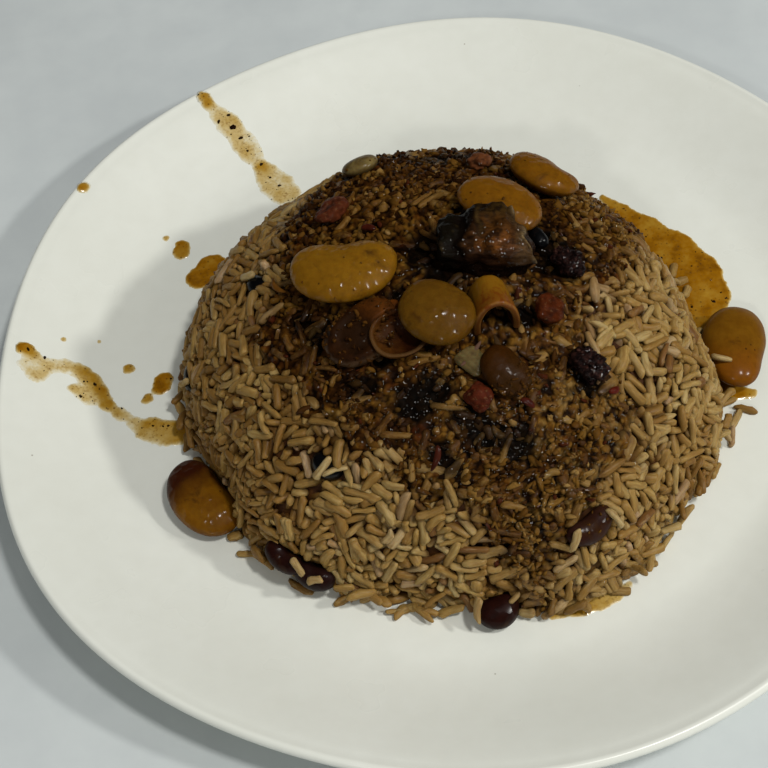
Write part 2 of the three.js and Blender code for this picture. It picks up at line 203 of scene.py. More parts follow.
class Nodes:
    """A small helper that builds a material's node tree."""

    def __init__(self, name):
        self.mat = bpy.data.materials.new(name)
        self.mat.use_nodes = True
        self.tree = self.mat.node_tree
        self.tree.nodes.clear()
        self.out = self.add("ShaderNodeOutputMaterial")
        self.bsdf = self.add("ShaderNodeBsdfPrincipled")
        self.tree.links.new(self.bsdf.outputs[0], self.out.inputs[0])

    def add(self, kind, **values):
        n = self.tree.nodes.new(kind)
        for k, v in values.items():
            setattr(n, k, v)
        return n

    def link(self, a, b):
        self.tree.links.new(a, b)

    def set(self, **values):
        for k, v in values.items():
            self.bsdf.inputs[k.replace("_", " ")].default_value = v

    def coords(self):
        return self.add("ShaderNodeTexCoord").outputs["Object"]

    def attr(self, name):
        n = self.add("ShaderNodeAttribute", attribute_name=name)
        sep = self.add("ShaderNodeSeparateColor")
        self.link(n.outputs["Color"], sep.inputs[0])
        return sep.outputs[0], sep.outputs[1], sep.outputs[2]

    def noise(self, size_mm, detail=3.0, rough=0.55, vector=None, stretch=None, distortion=0.0):
        n = self.add("ShaderNodeTexNoise")
        n.inputs["Scale"].default_value = 1.0 / (size_mm * MM)
        n.inputs["Detail"].default_value = detail
        n.inputs["Roughness"].default_value = rough
        n.inputs["Distortion"].default_value = distortion
        v = vector or self.coords()
        if stretch:
            m = self.add("ShaderNodeMapping")
            m.inputs["Scale"].default_value = stretch
            self.link(v, m.inputs[0])
            v = m.outputs[0]
        self.link(v, n.inputs["Vector"])
        return n.outputs["Fac"]

    def voronoi(self, size_mm, feature="F1", vector=None, randomness=1.0):
        n = self.add("ShaderNodeTexVoronoi", feature=feature)
        n.inputs["Scale"].default_value = 1.0 / (size_mm * MM)
        n.inputs["Randomness"].default_value = randomness
        self.link(vector or self.coords(), n.inputs["Vector"])
        return n.outputs["Distance"]

    def ramp(self, fac, stops, mode="LINEAR"):
        n = self.add("ShaderNodeValToRGB")
        n.color_ramp.interpolation = mode
        e = n.color_ramp.elements
        while len(e) > 1:
            e.remove(e[0])
        e[0].position, e[0].color = stops[0][0], rgba(stops[0][1])
        for at, col in stops[1:]:
            x = e.new(at)
            x.color = rgba(col)
        self.link(fac, n.inputs[0])
        return n.outputs[0]

    def remap(self, fac, lo, hi, to_lo=0.0, to_hi=1.0):
        n = self.add("ShaderNodeMapRange", clamp=True)
        self.link(fac, n.inputs[0])
        for i, v in zip((1, 2, 3, 4), (lo, hi, to_lo, to_hi)):
            n.inputs[i].default_value = v
        return n.outputs[0]

    def math(self, op, a, b=None):
        n = self.add("ShaderNodeMath", operation=op)
        for i, v in enumerate((a, b)):
            if v is None:
                continue
            if isinstance(v, (int, float)):
                n.inputs[i].default_value = v
            else:
                self.link(v, n.inputs[i])
        return n.outputs[0]

    def mix(self, fac, a, b, mode="MIX"):
        n = self.add("ShaderNodeMix", data_type="RGBA", blend_type=mode)
        for sock, v in ((n.inputs[0], fac), (n.inputs[6], a), (n.inputs[7], b)):
            if isinstance(v, (int, float)):
                sock.default_value = v
            elif isinstance(v, tuple):
                sock.default_value = rgba(v)
            else:
                self.link(v, sock)
        return n.outputs[2]

    def bump(self, height, strength, distance_mm, after=None):
        n = self.add("ShaderNodeBump")
        n.inputs["Strength"].default_value = strength
        n.inputs["Distance"].default_value = distance_mm * MM
        self.link(height, n.inputs["Height"])
        if after is not None:
            self.link(after, n.inputs["Normal"])
        return n.outputs[0]

    def dimples(self, size_mm, slope, skin=False):
        """A wet film drawn over lumps, so that a light shows in it as a cluster of dots; skin: on the attribute's smooth normal."""
        d = self.voronoi(size_mm)
        after = self.add("ShaderNodeAttribute", attribute_name="skin").outputs["Vector"] if skin else None
        return self.bump(self.math("MULTIPLY", d, d), 1.0, slope * size_mm, after)

    def finish(self, color=None, rough=None, normal=None, coat_normal=None):
        if color is not None:
            self.link(color, self.bsdf.inputs["Base Color"])
        if rough is not None:
            self.link(rough, self.bsdf.inputs["Roughness"])
        if normal is not None:
            self.link(normal, self.bsdf.inputs["Normal"])
            self.link(coat_normal or normal, self.bsdf.inputs["Coat Normal"])
        return self.mat


def rgba(c):
    """sRGB 0..255 to linear RGBA."""
    if len(c) == 4:
        return c
    return tuple(
        ((v / 255 + 0.055) / 1.055) ** 2.4 if v > 10.31 else v / 255 / 12.92 for v in c
    ) + (1.0,)


def linear(c):
    return np.array(rgba(c)[:3])


def with_one(v):
    return np.concatenate([v, np.ones((len(v), 1))], 1)


# ------------------------------------------------------------------ plate

PLATE_C = np.array([-1.016, -0.056])
FLOOR_Z, FLOOR_R, RIM_Z, RIM_TILT, LIP = 6.0, 99.0, 20.0, 0.5, 1.75


def plate_edge(th):
    return (
        139.85
        + 0.09 * np.cos(3 * th) - 0.26 * np.sin(3 * th)
        + 0.96 * np.cos(5 * th) - 0.25 * np.sin(5 * th)
        - 0.37 * np.cos(6 * th) + 0.21 * np.sin(6 * th)
    )


def plate_rim(th):
    return RIM_Z + RIM_TILT * np.cos(th + 135 * DEG)


def plate_wave(x, y):
    """Hand-made unevenness of the plate's wall, under half a millimetre."""
    x, y = np.atleast_1d(np.asarray(x, float)), np.atleast_1d(np.asarray(y, float))
    p = np.stack([x, y, 0 * x], 1)
    return 0.22 * smoothstep(np.hypot(x, y), 95, 130) * noise(p, 55, 3)


def plate_top(x, y):
    """Height of the plate's upper face."""
    dx, dy = np.asarray(x) - PLATE_C[0], np.asarray(y) - PLATE_C[1]
    r, th = np.hypot(dx, dy), np.arctan2(dy, dx)
    t = np.clip((r - FLOOR_R) / (plate_edge(th) - LIP - FLOOR_R), 0, 1)
    z = FLOOR_Z + (plate_rim(th) - FLOOR_Z) * (0.35 * t * t * (3 - 2 * t) + 0.65 * t**1.7)
    return z + plate_wave(x, y)


def build_plate():
    around = 240
    th = 2 * np.pi * np.arange(around) / around
    edge, rim = plate_edge(th), plate_rim(th)
    rows = []

    def ring(r, z):
        rows.append(
            np.stack(
                [PLATE_C[0] + r * np.cos(th), PLATE_C[1] + r * np.sin(th), z + 0 * th], 1
            )
        )

    one = np.ones(around)
    for r, z in ((40, 2.2), (78, 2.2), (81.2, 2.2), (82.6, 1.9), (83.3, 0.9), (83.9, 0.25), (84.8, 0.02),
                 (87.2, 0.02), (88.1, 0.25), (88.7, 0.9), (89.6, 1.7), (91, 2.1)):
        ring(r * one, z)
    start = 91.0
    for share in np.linspace(0.08, 0.985, 16):
        r = start + share * (edge - LIP - start)
        t = np.clip((r - FLOOR_R) / (edge - LIP - FLOOR_R), 0, 1)
        top = FLOOR_Z + (rim - FLOOR_Z) * (0.35 * t * t * (3 - 2 * t) + 0.65 * t**1.7)
        under = 3.95 - 0.35 * share
        k = min(1.0, share * 2.6)
        ring(r, 2.1 * (1 - k) + (top - under) * k)
    for turn in (-60, -40, -20, 0, 20, 40, 60, 80):
        ring(edge - LIP + LIP * math.cos(turn * DEG), rim - LIP + LIP * math.sin(turn * DEG))
    for share in np.concatenate([[0.985, 0.96, 0.93], np.linspace(0.89, 0.0, 22)]):
        r = FLOOR_R + share * (edge - LIP - FLOOR_R)
        t = share
        z = FLOOR_Z + (rim - FLOOR_Z) * (0.35 * t * t * (3 - 2 * t) + 0.65 * t**1.7)
        # a soft roll just inside the lip
        z = z - 0.25 * math.exp(-(((share - 0.96) / 0.03) ** 2))
        ring(r, z)
    for r in (90, 78, 60, 40, 20, 8):
        ring(r * one, FLOOR_Z)
    V = np.concatenate(rows)
    V[:, 2] += plate_wave(V[:, 0], V[:, 1])
    nv = len(rows)
    quads = grid_faces(around, nv)
    tips = np.array([[*PLATE_C, 2.2], [*PLATE_C, FLOOR_Z]])
    n = len(V)
    V = np.concatenate([V, tips])
    tris = np.concatenate(
        [cap_faces(around, 0, n, flip=True), cap_faces(around, around * (nv - 1), n + 1)]
    )
    return V, [quads, tris]


def glaze_material():
    m = Nodes("plate_glaze")
    broad = m.noise(60, 3)
    fine = m.noise(6, 4)
    col = m.ramp(broad, [(0.3, (226, 228, 219)), (0.7, (221, 223, 213))])
    col = m.mix(m.remap(fine, 0.35, 0.75, 0.0, 0.25), col, (212, 213, 202), "MIX")
    # sparse pinholes and dark flecks in the glaze
    spot = m.voronoi(11.0)
    near = m.remap(spot, 0.018, 0.032, 1.0, 0.0)
    keep = m.remap(m.noise(30, 2), 0.54, 0.58, 0.0, 0.7)
    col = m.mix(m.math("MULTIPLY", near, keep), col, (140, 132, 115))
    rough = m.remap(m.noise(22, 3), 0.3, 0.7, 0.26, 0.36)
    bump = m.bump(m.noise(16, 3), 0.25, 0.35)
    bump = m.bump(m.noise(1.6, 3), 0.10, 0.06, bump)
    m.set(IOR=1.5, Coat_Weight=0.15, Coat_Roughness=0.18)
    return m.finish(col, rough, bump)


# ------------------------------------------------------------------ heap of rice

HC = np.array([-5.575, -10.42])
HR, HH, HZ, P1, P2 = 79.885, 60.211, 6.3, 0.903, 1.014
WAVES = [(-0.53, -2.8), (-0.79, -1.02), (-0.18, -0.31), (0.76, 0.45), (0.1, -0.89), (-0.51, -0.14),
         (-0.35, 0.3), (-0.64, 0.08)]


def heap_wave(th):
    out = 0 * th
    for k, (c, s) in enumerate(WAVES):
        out = out + c * np.cos((k + 2) * th) + s * np.sin((k + 2) * th)
    return out


def heap_point(th, ph):
    co, si = np.cos(ph), np.sin(ph)
    r = (HR + heap_wave(th) * co) * np.maximum(co, 0) ** P1
    z = HZ + HH * np.maximum(si, 0) ** P2
    return np.stack([HC[0] + r * np.cos(th), HC[1] + r * np.sin(th), z], -1)


def heap_g(p):
    dx, dy = p[:, 0] - HC[0], p[:, 1] - HC[1]
    r, th = np.hypot(dx, dy), np.arctan2(dy, dx)
    A = heap_wave(th)
    v = (np.maximum(p[:, 2] - HZ, 0) / HH) ** (1 / P2)
    u = (r / HR) ** (1 / P1)
    c = u / np.maximum(np.hypot(u, v), 1e-6)
    for _ in range(2):
        u = (r / (HR + A * c)) ** (1 / P1)
        c = u / np.maximum(np.hypot(u, v), 1e-6)
    return np.hypot(u, v)


def heap_depth(p):
    """Depth below the heap's outline (negative outside) and the outward direction."""
    e = 0.25
    g = heap_g(p)
    grad = np.stack(
        [(heap_g(p + d) - heap_g(p - d)) / (2 * e) for d in np.eye(3) * e], 1
    )
    size = np.maximum(np.linalg.norm(grad, axis=1), 1e-5)
    return (1 - g) / size, grad / size[:, None]


# The gravy's edge on the heap, in plan.
GRAVY_EDGE = np.array([
    (-41, 36), (-52, 18), (-49, -4), (-55, -20), (-47, -40), (-38, -54), (-24, -65), (-8, -72), (-1, -80),
    (-1, -90), (12, -92), (15, -83), (28, -75), (43, -64), (45, -52), (33, -46), (31, -35), (37, -22),
    (52, -4), (58, 12), (62, 30), (60, 50), (47, 52), (36, 50), (18, 58), (-6, 55), (-26, 50),
])


def edge_distance(x, y, poly):
    """Signed distance to a closed polygon in plan, positive inside."""
    p = np.stack([x, y], 1)
    a, b = poly, np.roll(poly, -1, 0)
    best = np.full(len(p), 1e9)
    inside = np.zeros(len(p), bool)
    for (ax, ay), (bx, by) in zip(a, b):
        d = np.array([bx - ax, by - ay], float)
        t = np.clip(((p - [ax, ay]) @ d) / (d @ d), 0, 1)
        q = np.array([ax, ay]) + t[:, None] * d
        best = np.minimum(best, np.hypot(*(p - q).T))
        cross = ((ay > p[:, 1]) != (by > p[:, 1])) & (
            p[:, 0] < (bx - ax) * (p[:, 1] - ay) / ((by - ay) or 1e-9) + ax
        )
        inside ^= cross
    return np.where(inside, best, -best)


def gravy_at(p, jitter=0.0):
    """How much gravy covers a point of the heap, 0 to 1."""
    d = edge_distance(p[:, 0], p[:, 1], GRAVY_EDGE)
    d = d + 7.0 * fbm(p, 11, 3, 5) + jitter
    # thin runs down the front
    return smoothstep(d, -5.0, 7.0)


def unrest(p):
    """How far the loose surface lies back behind the heap's outline, in mm."""
    back = np.clip(0.85 + 1.25 * noise(p, 8.5, 51) + 0.6 * noise(p, 3.8, 52), 0, 2.3)
    return back * (1 - 0.5 * gravy_at(p))


def gravy_tone(p):
    """Lighter (over 0) and darker parts of the gravy: orange-brown low on the right, darkest in front."""
    x, y = p[:, 0], p[:, 1]
    out = 0.16 * smoothstep(x, 4, 30) * smoothstep(-y, 34, 60) + 0.14 * smoothstep(x, 26, 44) * smoothstep(y, -14, 8)
    out = out + 0.24 * smoothstep(-y, 66, 78) - 0.2 * smoothstep(y, 6, 22) * smoothstep(-x, -24, -12)
    out = out - 0.20 * np.exp(-(((x + 8) / 20) ** 2 + ((y + 52) / 11) ** 2)) - 0.10 * smoothstep(-x, 16, 34) * smoothstep(-y, 0, 25)
    return out + 0.42 * fbm(p, 6.5, 2, 77) + 0.16 * noise(p, 2.6, 78)


# Nearly black patches on the gravy round the toppings: a point on the skin, and its reach.
DARK = (
    ((-16.9, -50.9, 58.0), 4.5), ((-12.6, -48.8, 59.5), 4.0), ((-0.5, -60.2, 54.3), 3.6), ((-4.5, -57.3, 55.9), 3.2),
    ((7.9, -64.2, 51.9), 4.2), ((4.8, -62.0, 52.8), 3.0), ((-12.3, -63.6, 51.0), 2.8), ((-9.7, -67.1, 48.7), 2.8),
    ((29.6, -44.7, 55.3), 3.8), ((31.1, -48.1, 53.3), 3.4), ((24.6, -5.7, 62.5), 6.0), ((27.4, -13.7, 61.9), 4.2),
    ((1.5, -83.0, 30.0), 1.8), ((2.4, -88.1, 19.2), 2.6), ((-39.4, -25.2, 60.4), 4.0), ((-44.5, -19.9, 59.2), 3.0),
    ((-5.6, -5.8, 66.4), 6.5), ((-3.0, -14.3, 66.3), 5.0), ((-18.5, -22.2, 65.3), 3.6), ((-0.5, 39.6, 54.0), 4.5),
    ((6.6, 41.4, 52.7), 4.0), ((35.7, -25.4, 58.1), 2.6), ((39.4, -26.3, 56.3), 2.2), ((-30.0, -44.0, 58.6), 3.0),
    ((14.0, -30.0, 64.0), 4.0), ((-24.0, -36.0, 63.0), 4.0),
)


def dark_at(p):
    out = np.zeros(len(p))
    for at, r in DARK:
        out = np.maximum(out, np.exp(-((np.linalg.norm(p - np.array(at), axis=1) / (1.25 * r)) ** 2)))
    return np.clip(1.25 * out + 0.6 * fbm(p, 4.0, 3, 19) * out**0.5, 0, 1)


# ------------------------------------------------------------------ toppings: sizes and places, as in the CAD


def bean(at, up, heading, size, bend=0.0, notch=0.0, notch_at=0.0, taper=0.0, sunk=0.0):
    return dict(shape="bean", at=at, up=up, heading=heading, size=size, bend=bend, notch=notch, notch_at=notch_at, taper=taper, sunk=sunk)


def chunk(at, up, heading, size, rough, seed, square=0.55, taper=0.0):
    return dict(shape="chunk", at=at, up=up, heading=heading, size=size, rough=rough, seed=seed, square=square, taper=taper)


PIECES = {
    "kidney_bean_front": bean((-1.6, -89.2, 10.8), (0.1, -0.35, 0.93), 20, (12, 9.4, 8), 0.9, 0.6),
    "kidney_bean_front_left": bean((-57.9, -68.3, 16.9), (-0.61, -0.76, 0.3), -80, (12.4, 7.6, 6.6), 0.8, 0.6, sunk=0.4),
    "kidney_bean_front_mid": bean((-50.2, -73.6, 14.2), (-0.46, -0.8, 0.38), -34, (12.2, 8, 6.6), 0.8, 0.6, sunk=0.4),
    "kidney_bean_right": bean((24.9, -79.9, 32), (0.31, -0.76, 0.57), 42, (14, 8.4, 6.4), 1.2, 0.8, sunk=0.9),
    "kidney_bean_left": bean((-80.9, -5.2, 20.6), (-0.92, -0.05, 0.4), 265, (10.6, 7, 5.4), 0.8, 0.5, sunk=0.8),
    "kidney_bean_upper_left": bean((-56.5, 2.4, 50.6), (-0.52, 0.05, 0.85), -40, (8.6, 6.6, 5.6), 0.5, 0.4, sunk=1.2),
    "black_bean_mid_left": bean((-42.5, -58, 43.9), (-0.37, -0.56, 0.74), -40, (9.4, 6.8, 5.2), 0.6, 0.4, sunk=1.7),
    "black_bean_behind_meat": bean((22.8, -5.9, 64), (0.25, 0.04, 0.97), -70, (6.8, 4.8, 4.4), 0.3, 0.2),
    "crushed_bean_right": chunk((29.4, -14, 62), (0.33, 0, 0.95), -30, (12.5, 9, 5), 0.16, 2.2),
    "crushed_bean_front_right": chunk((29.8, -44.7, 55.9), (0.35, -0.33, 0.88), -45, (12.5, 9, 5), 0.16, 4.1),
    "tomato_back_left": chunk((-32.6, 16.9, 61), (-0.24, 0.27, 0.93), 52, (13, 9.6, 5), 0.09, 1.2),
    "tomato_back_right": chunk((11.8, 31.5, 57.8), (0.17, 0.42, 0.89), 50, (8.6, 7.4, 5), 0.1, 2.9),
    "tomato_front": chunk((-0.5, -52.7, 59.1), (0, -0.41, 0.91), -58, (8.8, 7.4, 5), 0.1, 5.3),
    "tomato_right": chunk((21.8, -30.2, 63.2), (0.2, -0.3, 0.94), 80, (9.6, 9, 6), 0.07, 3.4),
    "onion_petal": dict(shape="petal", at=(-0.8, -43.4, 62.9), up=(-0.1, -0.4, 0.9), heading=-52, size=(7.4, 6.4, 1.5), curve=0.8),
    "lima_bean_back": bean((-22.9, 39.6, 54), (-0.21, 0.5, 0.84), 24, (11, 9, 5), 0.6, 0.4),
    "butter_bean_gravy": bean((-28.2, -30.6, 63.9), (-0.26, -0.3, 0.92), 24, (22, 16.5, 7), 0.6, 0.5),
    "butter_bean_split": dict(shape="split", at=(-18.4, -34.6, 66.9), up=(-0.05, -0.3, 0.95), heading=12, size=(16, 13.6, 4.2), bend=0.4, hollow=2.2),
    "butter_bean_front": bean((7.5, -47.4, 61.4), (0.2, -0.4, 0.9), -50, (15, 11.5, 7), 0.6, 0.5),
    "butter_bean_behind": bean((14, 5, 67.9), (0.14, 0.05, 0.98), -38, (24.5, 17, 8.4), -1.0, 0.0),
    "butter_bean_back": bean((28.8, 22.4, 58.4), (0.36, 0.25, 0.9), -36, (21.5, 15, 8), 1.3, 1.8, 0.32),
    "butter_bean_left": bean((-31.2, -11.1, 67.4), (-0.1, -0.06, 0.99), -9, (29.3, 20.3, 9), 1.6, 1.9, -0.06),
    "butter_bean_middle": bean((-8.2, -31.7, 69.8), (0.02, -0.2, 0.98), -40, (20.6, 18, 9), 0.3, 0.2),
    "meat_chunk": chunk((8.6, -9.4, 70.6), (0.05, -0.12, 0.99), -10, (33, 21.5, 15.5), 0.07, 0.6, 0.58, -0.06),
    "bean_skin_arch": dict(shape="arch", at=(7.2, -34.9, 63.6), up=(0.02, 0.06, 0.99), heading=-84, size=(13, 12.2, 9.6), wall=1.8),
    "butter_bean_plate_left": bean((-80.2, -41.9, 11.3), (0.02, -0.06, 1), -60, (27, 17, 9.2), 1.2, 1.2, -0.05),
    "butter_bean_plate_right": bean((80.9, -13, 11.9), (0.1, 0, 0.99), -104, (29, 19, 9.8), 1.0, 0.9, 0.3, -0.08),
}


def frame_of(piece):
    """Rows: the piece's long, broad and thin axes; and its centre."""
    z = np.array(piece["up"], float)
    z /= np.linalg.norm(z)
    h = piece["heading"] * DEG
    x = np.array([math.cos(h), math.sin(h), 0.0])
    x -= z * (x @ z)
    x /= np.linalg.norm(x)
    return np.stack([x, np.cross(z, x), z]), np.array(piece["at"], float) - z * piece.get("sunk", 0.0)


def lay(points, piece):
    R, at = frame_of(piece)
    return points @ R + at


# ------------------------------------------------------------------ packing the grains

SHELL = 6.2  # the settled grains fill this depth under the heap's outline
GIVE = 0.5  # cooked grains press into each other by this much


def closest(p0, p1, q0, q1):
    """Parameters of the closest points of segment pairs."""
    d1, d2, r = p1 - p0, q1 - q0, p0 - q0
    a = np.einsum("ij,ij->i", d1, d1)
    e = np.einsum("ij,ij->i", d2, d2)
    f = np.einsum("ij,ij->i", d2, r)
    c = np.einsum("ij,ij->i", d1, r)
    b = np.einsum("ij,ij->i", d1, d2)
    den = np.maximum(a * e - b * b, 1e-6)
    s = np.clip((b * f - c * e) / den, 0, 1)
    t = np.clip((b * s + f) / e, 0, 1)
    s = np.clip((b * t - c) / a, 0, 1)
    return s, t


def near_pairs(c, reach):
    """Pairs of points closer than reach, by a grid of cells."""
    cell = np.floor(c / reach).astype(np.int64)
    cell -= cell.min(0)
    dims = cell.max(0) + 3
    key = ((cell[:, 0] + 1) * dims[1] + cell[:, 1] + 1) * dims[2] + cell[:, 2] + 1
    order = np.argsort(key, kind="stable")
    keys = key[order]
    out_a, out_b = [], []
    for dx in (-1, 0, 1):
        for dy in (-1, 0, 1):
            for dz in (-1, 0, 1):
                shift = (dx * dims[1] + dy) * dims[2] + dz
                if shift < 0:
                    continue
                want = key + shift
                lo = np.searchsorted(keys, want, "left")
                hi = np.searchsorted(keys, want, "right")
                count = hi - lo
                a = np.repeat(np.arange(len(c)), count)
                off = np.arange(count.sum()) - np.repeat(np.cumsum(count) - count, count)
                b = order[np.repeat(lo, count) + off]
                if shift == 0:
                    a, b = a[a < b], b[a < b]
                d = c[a] - c[b]
                keep = np.einsum("ij,ij->i", d, d) < reach * reach
                out_a.append(a[keep])
                out_b.append(b[keep])
    return np.concatenate(out_a), np.concatenate(out_b)


def units(v):
    return v / np.maximum(np.linalg.norm(v, axis=1), 1e-9)[:, None]


def pack_grains(count, rounds, rng):
    """Settles grains as capsules in a shell under the heap's outline, round the toppings and on the plate."""
    th = rng.uniform(0, 2 * np.pi, count * 5)
    ph = np.arcsin(rng.uniform(0, 1, count * 5))
    e = 1e-3
    base = heap_point(th, ph)
    du = (heap_point(th + e, ph) - base) / e
    dv = (heap_point(th, np.minimum(ph + e, np.pi / 2)) - base) / e
    area = np.linalg.norm(np.cross(du, dv), axis=1) / np.maximum(np.cos(ph), 1e-3)
    keep = rng.uniform(0, 1, len(th)) < area / np.quantile(area, 0.99)
    th, ph = th[keep][:count], ph[keep][:count]
    n = len(th)
    skin = heap_point(th, ph)
    _, out = heap_depth(skin)
    c = skin - out * rng.uniform(0.9, SHELL - 0.8, n)[:, None]
    u = rng.normal(size=(n, 3))
    u = units(u - out * np.einsum("ij,ij->i", u, out)[:, None])
    lift = np.where(rng.uniform(size=n) < 0.36, 0.85, 0.38)
    u = units(u + out * (rng.normal(size=n) * lift)[:, None])
    length = np.clip(rng.normal(7.9, 1.0, n), 5.4, 10.2)
    broken = rng.uniform(size=n) < 0.24
    length[broken] = rng.uniform(2.8, 5.0, broken.sum())
    rad = np.clip(rng.normal(1.21, 0.13, n), 1.0, 1.66)
    half = length / 2 - rad * 0.8
    P, Q = c - u * half[:, None], c + u * half[:, None]
    solids = []
    for piece in PIECES.values():
        R, at = frame_of(piece)
        solids.append((R, at, np.array(piece["size"], float) / 2))
    for k in range(rounds):
        c = (P + Q) / 2
        if k % 8 == 0:
            A, B = near_pairs(c, 9.2)
            back = unrest(np.concatenate([P, Q]))
        s, t = closest(P[A], Q[A], P[B], Q[B])
        d = P[A] + (Q[A] - P[A]) * s[:, None] - P[B] - (Q[B] - P[B]) * t[:, None]
        dist = np.maximum(np.linalg.norm(d, axis=1), 1e-6)
        pen = rad[A] + rad[B] - dist - GIVE
        hit = pen > 0
        Ah, Bh, sh, tt = A[hit], B[hit], s[hit], t[hit]
        push = d[hit] / dist[hit][:, None] * (pen[hit] * 0.40)[:, None]
        ka = 0.7 / ((1 - sh) ** 2 + sh**2)
        kb = 0.7 / ((1 - tt) ** 2 + tt**2)
        for axis in range(3):
            w = push[:, axis]
            P[:, axis] += np.bincount(Ah, w * (1 - sh) * ka, n) - np.bincount(Bh, w * (1 - tt) * kb, n)
            Q[:, axis] += np.bincount(Ah, w * sh * ka, n) - np.bincount(Bh, w * tt * kb, n)
        pull = 0.07 if k < rounds - 12 else 0.01
        E = np.concatenate([P, Q])
        er = np.concatenate([rad, rad])
        dep, out = heap_depth(E)
        E -= out * pull
        low = dep - (SHELL - 1.0) - 0.6 * back
        E += out * np.where(low > 0, low * 0.8, 0)[:, None]
        high = er * 0.9 + back - dep
        E -= out * np.where(high > 0, high * 0.5, 0)[:, None]
        for R, at, half_size in solids:
            near = np.abs(E - at).max(1) < half_size[0] + 4
            v = (E[near] - at) @ R.T
            m = half_size + 0.95
            q = v / m
            g = np.linalg.norm(q, axis=1)
            inside = g < 1
            if inside.any():
                where = np.nonzero(near)[0][inside]
                gi = np.maximum(g[inside], 0.25)[:, None]
                grad = q[inside] / m / gi
                size = np.maximum(np.linalg.norm(grad, axis=1), 1e-6)[:, None]
                E[where] += (grad / size * np.minimum((1 - gi) / size, 0.5)) @ R
        E[:, 2] = np.maximum(E[:, 2], plate_top(E[:, 0], E[:, 1]) + er * 0.93)
        P, Q = E[:n], E[n:]
        c = (P + Q) / 2
        u = units(Q - P)
        P, Q = c - u * half[:, None], c + u * half[:, None]
    return (P + Q) / 2, u, length, rad


GRAIN_RINGS = np.array([-0.975, -0.83, -0.44, -0.02, 0.42, 0.8, 0.96])
GRAIN_AROUND = 8


def grain_meshes(c, u, roll, length, rad, bend, blunt, point, rng):
    """Joined grain meshes: points, faces, and each point's place along its grain."""
    k, around = len(GRAIN_RINGS), GRAIN_AROUND
    a = 2 * np.pi * np.arange(around) / around
    square = (np.abs(np.cos(a)) ** 2.6 + np.abs(np.sin(a)) ** 2.6) ** (-1 / 2.6)
    s = np.concatenate([np.repeat(GRAIN_RINGS, around), [-1.0, 1.0]])
    cy = np.concatenate([np.tile(np.cos(a) * square, k), [0, 0]])
    cz = np.concatenate([np.tile(np.sin(a) * square, k), [0, 0]])
    n, m = len(c), len(s)
    quads = grid_faces(around, k)
    tris = np.concatenate([cap_faces(around, 0, m - 2, flip=True), cap_faces(around, around * (k - 1), m - 1)])
    prof = np.maximum(1 - np.abs(s[None]) ** blunt[:, None], 0) ** 0.5
    prof = prof * (1 + 0.16 * point[:, None] * s[None])
    # soft dents: no two grains have quite the same outline
    wave = rng.uniform(0, 2 * np.pi, (n, 3))
    prof = prof * (1 + 0.06 * np.sin(3.4 * s[None] + wave[:, :1]) + 0.04 * np.sin(7.1 * s[None] + wave[:, 1:2]))
    prof = prof * (1 + 0.08 * rng.normal(size=(n, m)))
    # many grains end in a slanting break
    cut = np.where(rng.uniform(size=(n, 2)) < 0.6, rng.normal(0, 0.75, (n, 2)), 0)
    lean = np.where(s[None] > 0, cut[:, :1], cut[:, 1:]) * (cy * s**4)[None]
    side = units(np.cross(u, np.array([0.3, 0.5, 0.8])))
    up = np.cross(u, side)
    y = side * np.cos(roll)[:, None] + up * np.sin(roll)[:, None]
    z = np.cross(u, y)
    w = rad[:, None] * prof
    flat = rng.uniform(0.6, 0.94, n)[:, None]
    X = (length / 2)[:, None] * s[None] + lean * w
    Y = w * cy[None] * 1.04
    Z = w * cz[None] * flat
    local = np.stack([X, Y + 13.0 * rng.uniform(0, 1, (n, 1)), Z + 13.0 * rng.uniform(0, 1, (n, 1)), 0 * X + 1], -1)
    Y = Y + bend[:, :1] * (s[None] ** 2 - 0.35)
    Z = Z + bend[:, 1:] * (s[None] ** 2 - 0.35)
    V = c[:, None] + u[:, None] * X[..., None] + y[:, None] * Y[..., None] + z[:, None] * Z[..., None]
    V = V.reshape(-1, 3)
    local = local.reshape(-1, 4) * [MM, MM, MM, 1]
    off = (np.arange(n) * m)[:, None, None]
    return V, [(quads[None] + off).reshape(-1, 4), (tris[None] + off).reshape(-1, 3)], np.tile(s, n), m, local


